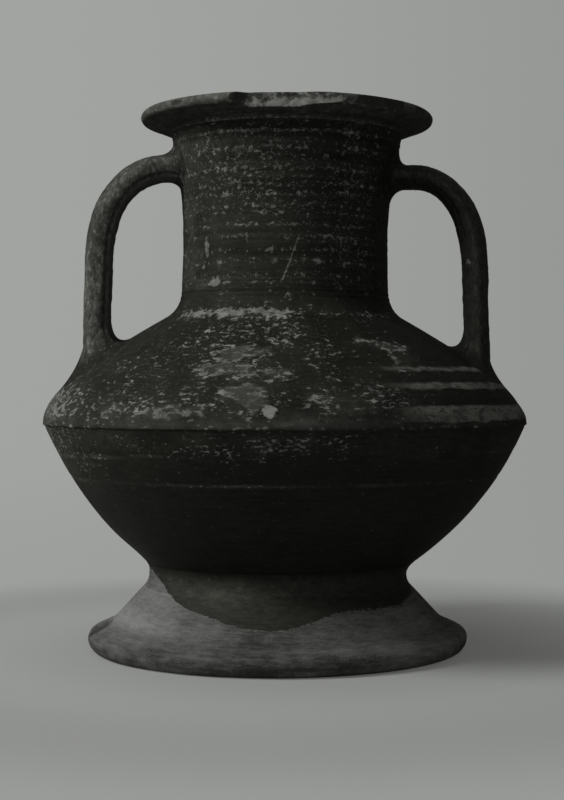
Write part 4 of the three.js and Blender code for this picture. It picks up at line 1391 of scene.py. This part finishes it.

# %% [markdown]
# ## Putting the pieces in their places
#
# Each piece stands for one solid of the frame and rides on the same body, so it goes wherever the jar goes.

# %% Finishes and riding
PIECES = [
    (foot, "foot", foot_finish),
    (bowl, "lower_body", bowl_finish),
    (shoulder, "shoulder", shoulder_finish),
    (neck, "neck", neck_finish),
    (rim, "rim", rim_finish),
    (foot_fillet, "foot_luting_fillet", foot_finish),
    (neck_fillet, "neck_luting_fillet", fillet_finish),
    (strap_pieces["left"], "left_handle", strap_finish),
    (strap_pieces["right"], "right_handle", strap_finish),
    (smears["left_neck"], "left_neck_collar", strap_finish),
    (smears["left_shoulder"], "left_shoulder_collar", strap_finish),
    (smears["right_neck"], "right_neck_collar", strap_finish),
    (smears["right_shoulder"], "right_shoulder_collar", strap_finish),
]

for piece, node, material in PIECES:
    piece.data.materials.append(material)
    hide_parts(node)
    "bare_clay" if node == "foot" else "black_slip"
    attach(piece, "root")
print("pieces in place:", len(PIECES))

# %% [markdown]
# ## Floor and backdrop
#
# The jar stands on pale paper that curves up into a wall. Here the paper is a shallow round dish, so the
# backdrop looks alike from every side. Like the jar it is a turned line. Close to the jar the paper takes
# its light and shadow. Further out, what the camera sees of it fades into a glowing tone, painted lighter on
# the left and darker on the right as painted light, so that no extra light is needed to make the
# background pale.

# %% Paper dish
PAPER_FLOOR = 1200.0  # radius of the flat floor
PAPER_CURVE = 500.0
PAPER_TOP = 1500.0
PAPER_THICKNESS = 20.0
PAPER_ROUND = 128
PAPER_DARK = (0.410, 0.419, 0.405)
PAPER_LIGHT = (0.440, 0.450, 0.435)
PAPER_FAR = (0.14, 0.14, 0.14)  # keeps the wall from throwing light back on the jar's dark side
# The backdrop's glow is painted lighter on the left than on the right: painted light from the lamp's side.
BACKDROP_LEFT = (0.362, 0.372, 0.358)
BACKDROP_RIGHT = (0.280, 0.287, 0.276)
BACKDROP_HALF = 0.7  # metres from the axis to where each of the two tones is reached
FADE_START = 0.11  # metres from the jar's axis
FADE_END = 0.25
NEAR_GLOW = 0.2  # share of the even tone close to the jar, which lifts its shadow

paper_line = chain(
    run((5, 0), (PAPER_FLOOR, 0), 100),
    arc((PAPER_FLOOR, PAPER_CURVE), PAPER_CURVE, PAPER_CURVE, -np.pi / 2, 0, 24),
    run((PAPER_FLOOR + PAPER_CURVE, PAPER_CURVE), (PAPER_FLOOR + PAPER_CURVE, PAPER_TOP), 200),
)
paper_line = np.vstack([paper_line, paper_line[::-1] + [PAPER_THICKNESS, -PAPER_THICKNESS]])
angle = np.linspace(0, TURN, PAPER_ROUND, endpoint=False)[None, :]
radius, height = paper_line[:, :1], paper_line[:, 1:] + 0 * angle
paper_grid = np.stack([radius * np.cos(angle), radius * np.sin(angle), height], -1)
paper = closed_mesh("paper", paper_grid, False)


def paper_finish():
    """Matt paper with a faint fibre, mixed with a glow by how far out a point is, for rays from the
    camera only. The glow is painted lighter on the left, as painted light."""
    material, tree, matt = new_material("paper")
    place = Signal(tree).node("TexCoord", {}, {}, "Object")
    fibre = noise(place, 6.0, 3.0)
    matt.inputs["Roughness"].default_value = 1.0
    matt.inputs["Specular IOR Level"].default_value = 0.0
    x = place.node("SeparateXYZ", {}, {0: place})
    y = x.sibling("Y")
    far = ramp((x * x + y * y) ** 0.5, FADE_START, FADE_END)
    tone = blend(blend(PAPER_DARK, PAPER_LIGHT, fibre), PAPER_FAR, far)
    tree.links.new(tone.socket, matt.inputs["Base Color"])
    seen = place.node("LightPath", {}, {}, "Is Camera Ray")
    backdrop = blend(BACKDROP_LEFT, BACKDROP_RIGHT, ramp(x, -BACKDROP_HALF, BACKDROP_HALF))
    glow = place.node("Emission", {}, {"Color": backdrop})
    share = (far * (1 - NEAR_GLOW) + NEAR_GLOW) * seen
    mixed = place.node("MixShader", {}, {0: share, 1: Signal(tree, matt.outputs[0]), 2: glow})
    tree.links.new(mixed.socket, tree.nodes["Material Output"].inputs["Surface"])
    return material


paper.data.materials.append(paper_finish())
print("paper fades out to", FADE_END, "m from the jar")

# %% [markdown]
# ## Light
#
# A soft lamp stands high on the left and in front of the jar, and makes the left handle and the foot pale.
# A weaker one hangs above it, another stands in front, and a dim sky fills the shadows. A lamp's light
# falls off with the square of its distance, so its power is worked out from the light wanted at the jar.

# %% Lamps and sky
# Each lamp: place in metres, size, and the light it gives a white card that faces it at the jar.
LAMPS = {
    "key lamp": ((-1.194, -0.690, 1.077), 0.7, 0.75),
    "top lamp": ((-0.2, 0.2, 1.6), 1.0, 0.08),
    "front lamp": ((0.35, -1.60, 0.30), 0.5, 0.16),
}
LAMP_AIM = (0, 0, 0.1)
SKY_LIGHT = 0.24
SKY_TONE = (1.0, 1.0, 0.985, 1.0)

for name, (place, size, light) in LAMPS.items():
    lamp = bpy.data.lights.new(name, "AREA")
    lamp.shape = "DISK"
    lamp.size = size
    aim = np.array(LAMP_AIM) - place
    lamp.energy = light * np.pi**2 * float(aim @ aim)
    hung = bpy.data.objects.new(name, lamp)
    hung.location = place
    hung.rotation_euler = (np.arctan2(np.hypot(aim[0], aim[1]), -aim[2]), 0, np.arctan2(-aim[0], aim[1]))
    hung.visible_camera = False
    bpy.context.scene.collection.objects.link(hung)
    print(f"{name}: {lamp.energy:.1f} W")

sky = bpy.data.worlds.new("sky")
sky.use_nodes = True
background = sky.node_tree.nodes["Background"]
background.inputs["Color"].default_value = SKY_TONE
background.inputs["Strength"].default_value = SKY_LIGHT
bpy.context.scene.world = sky
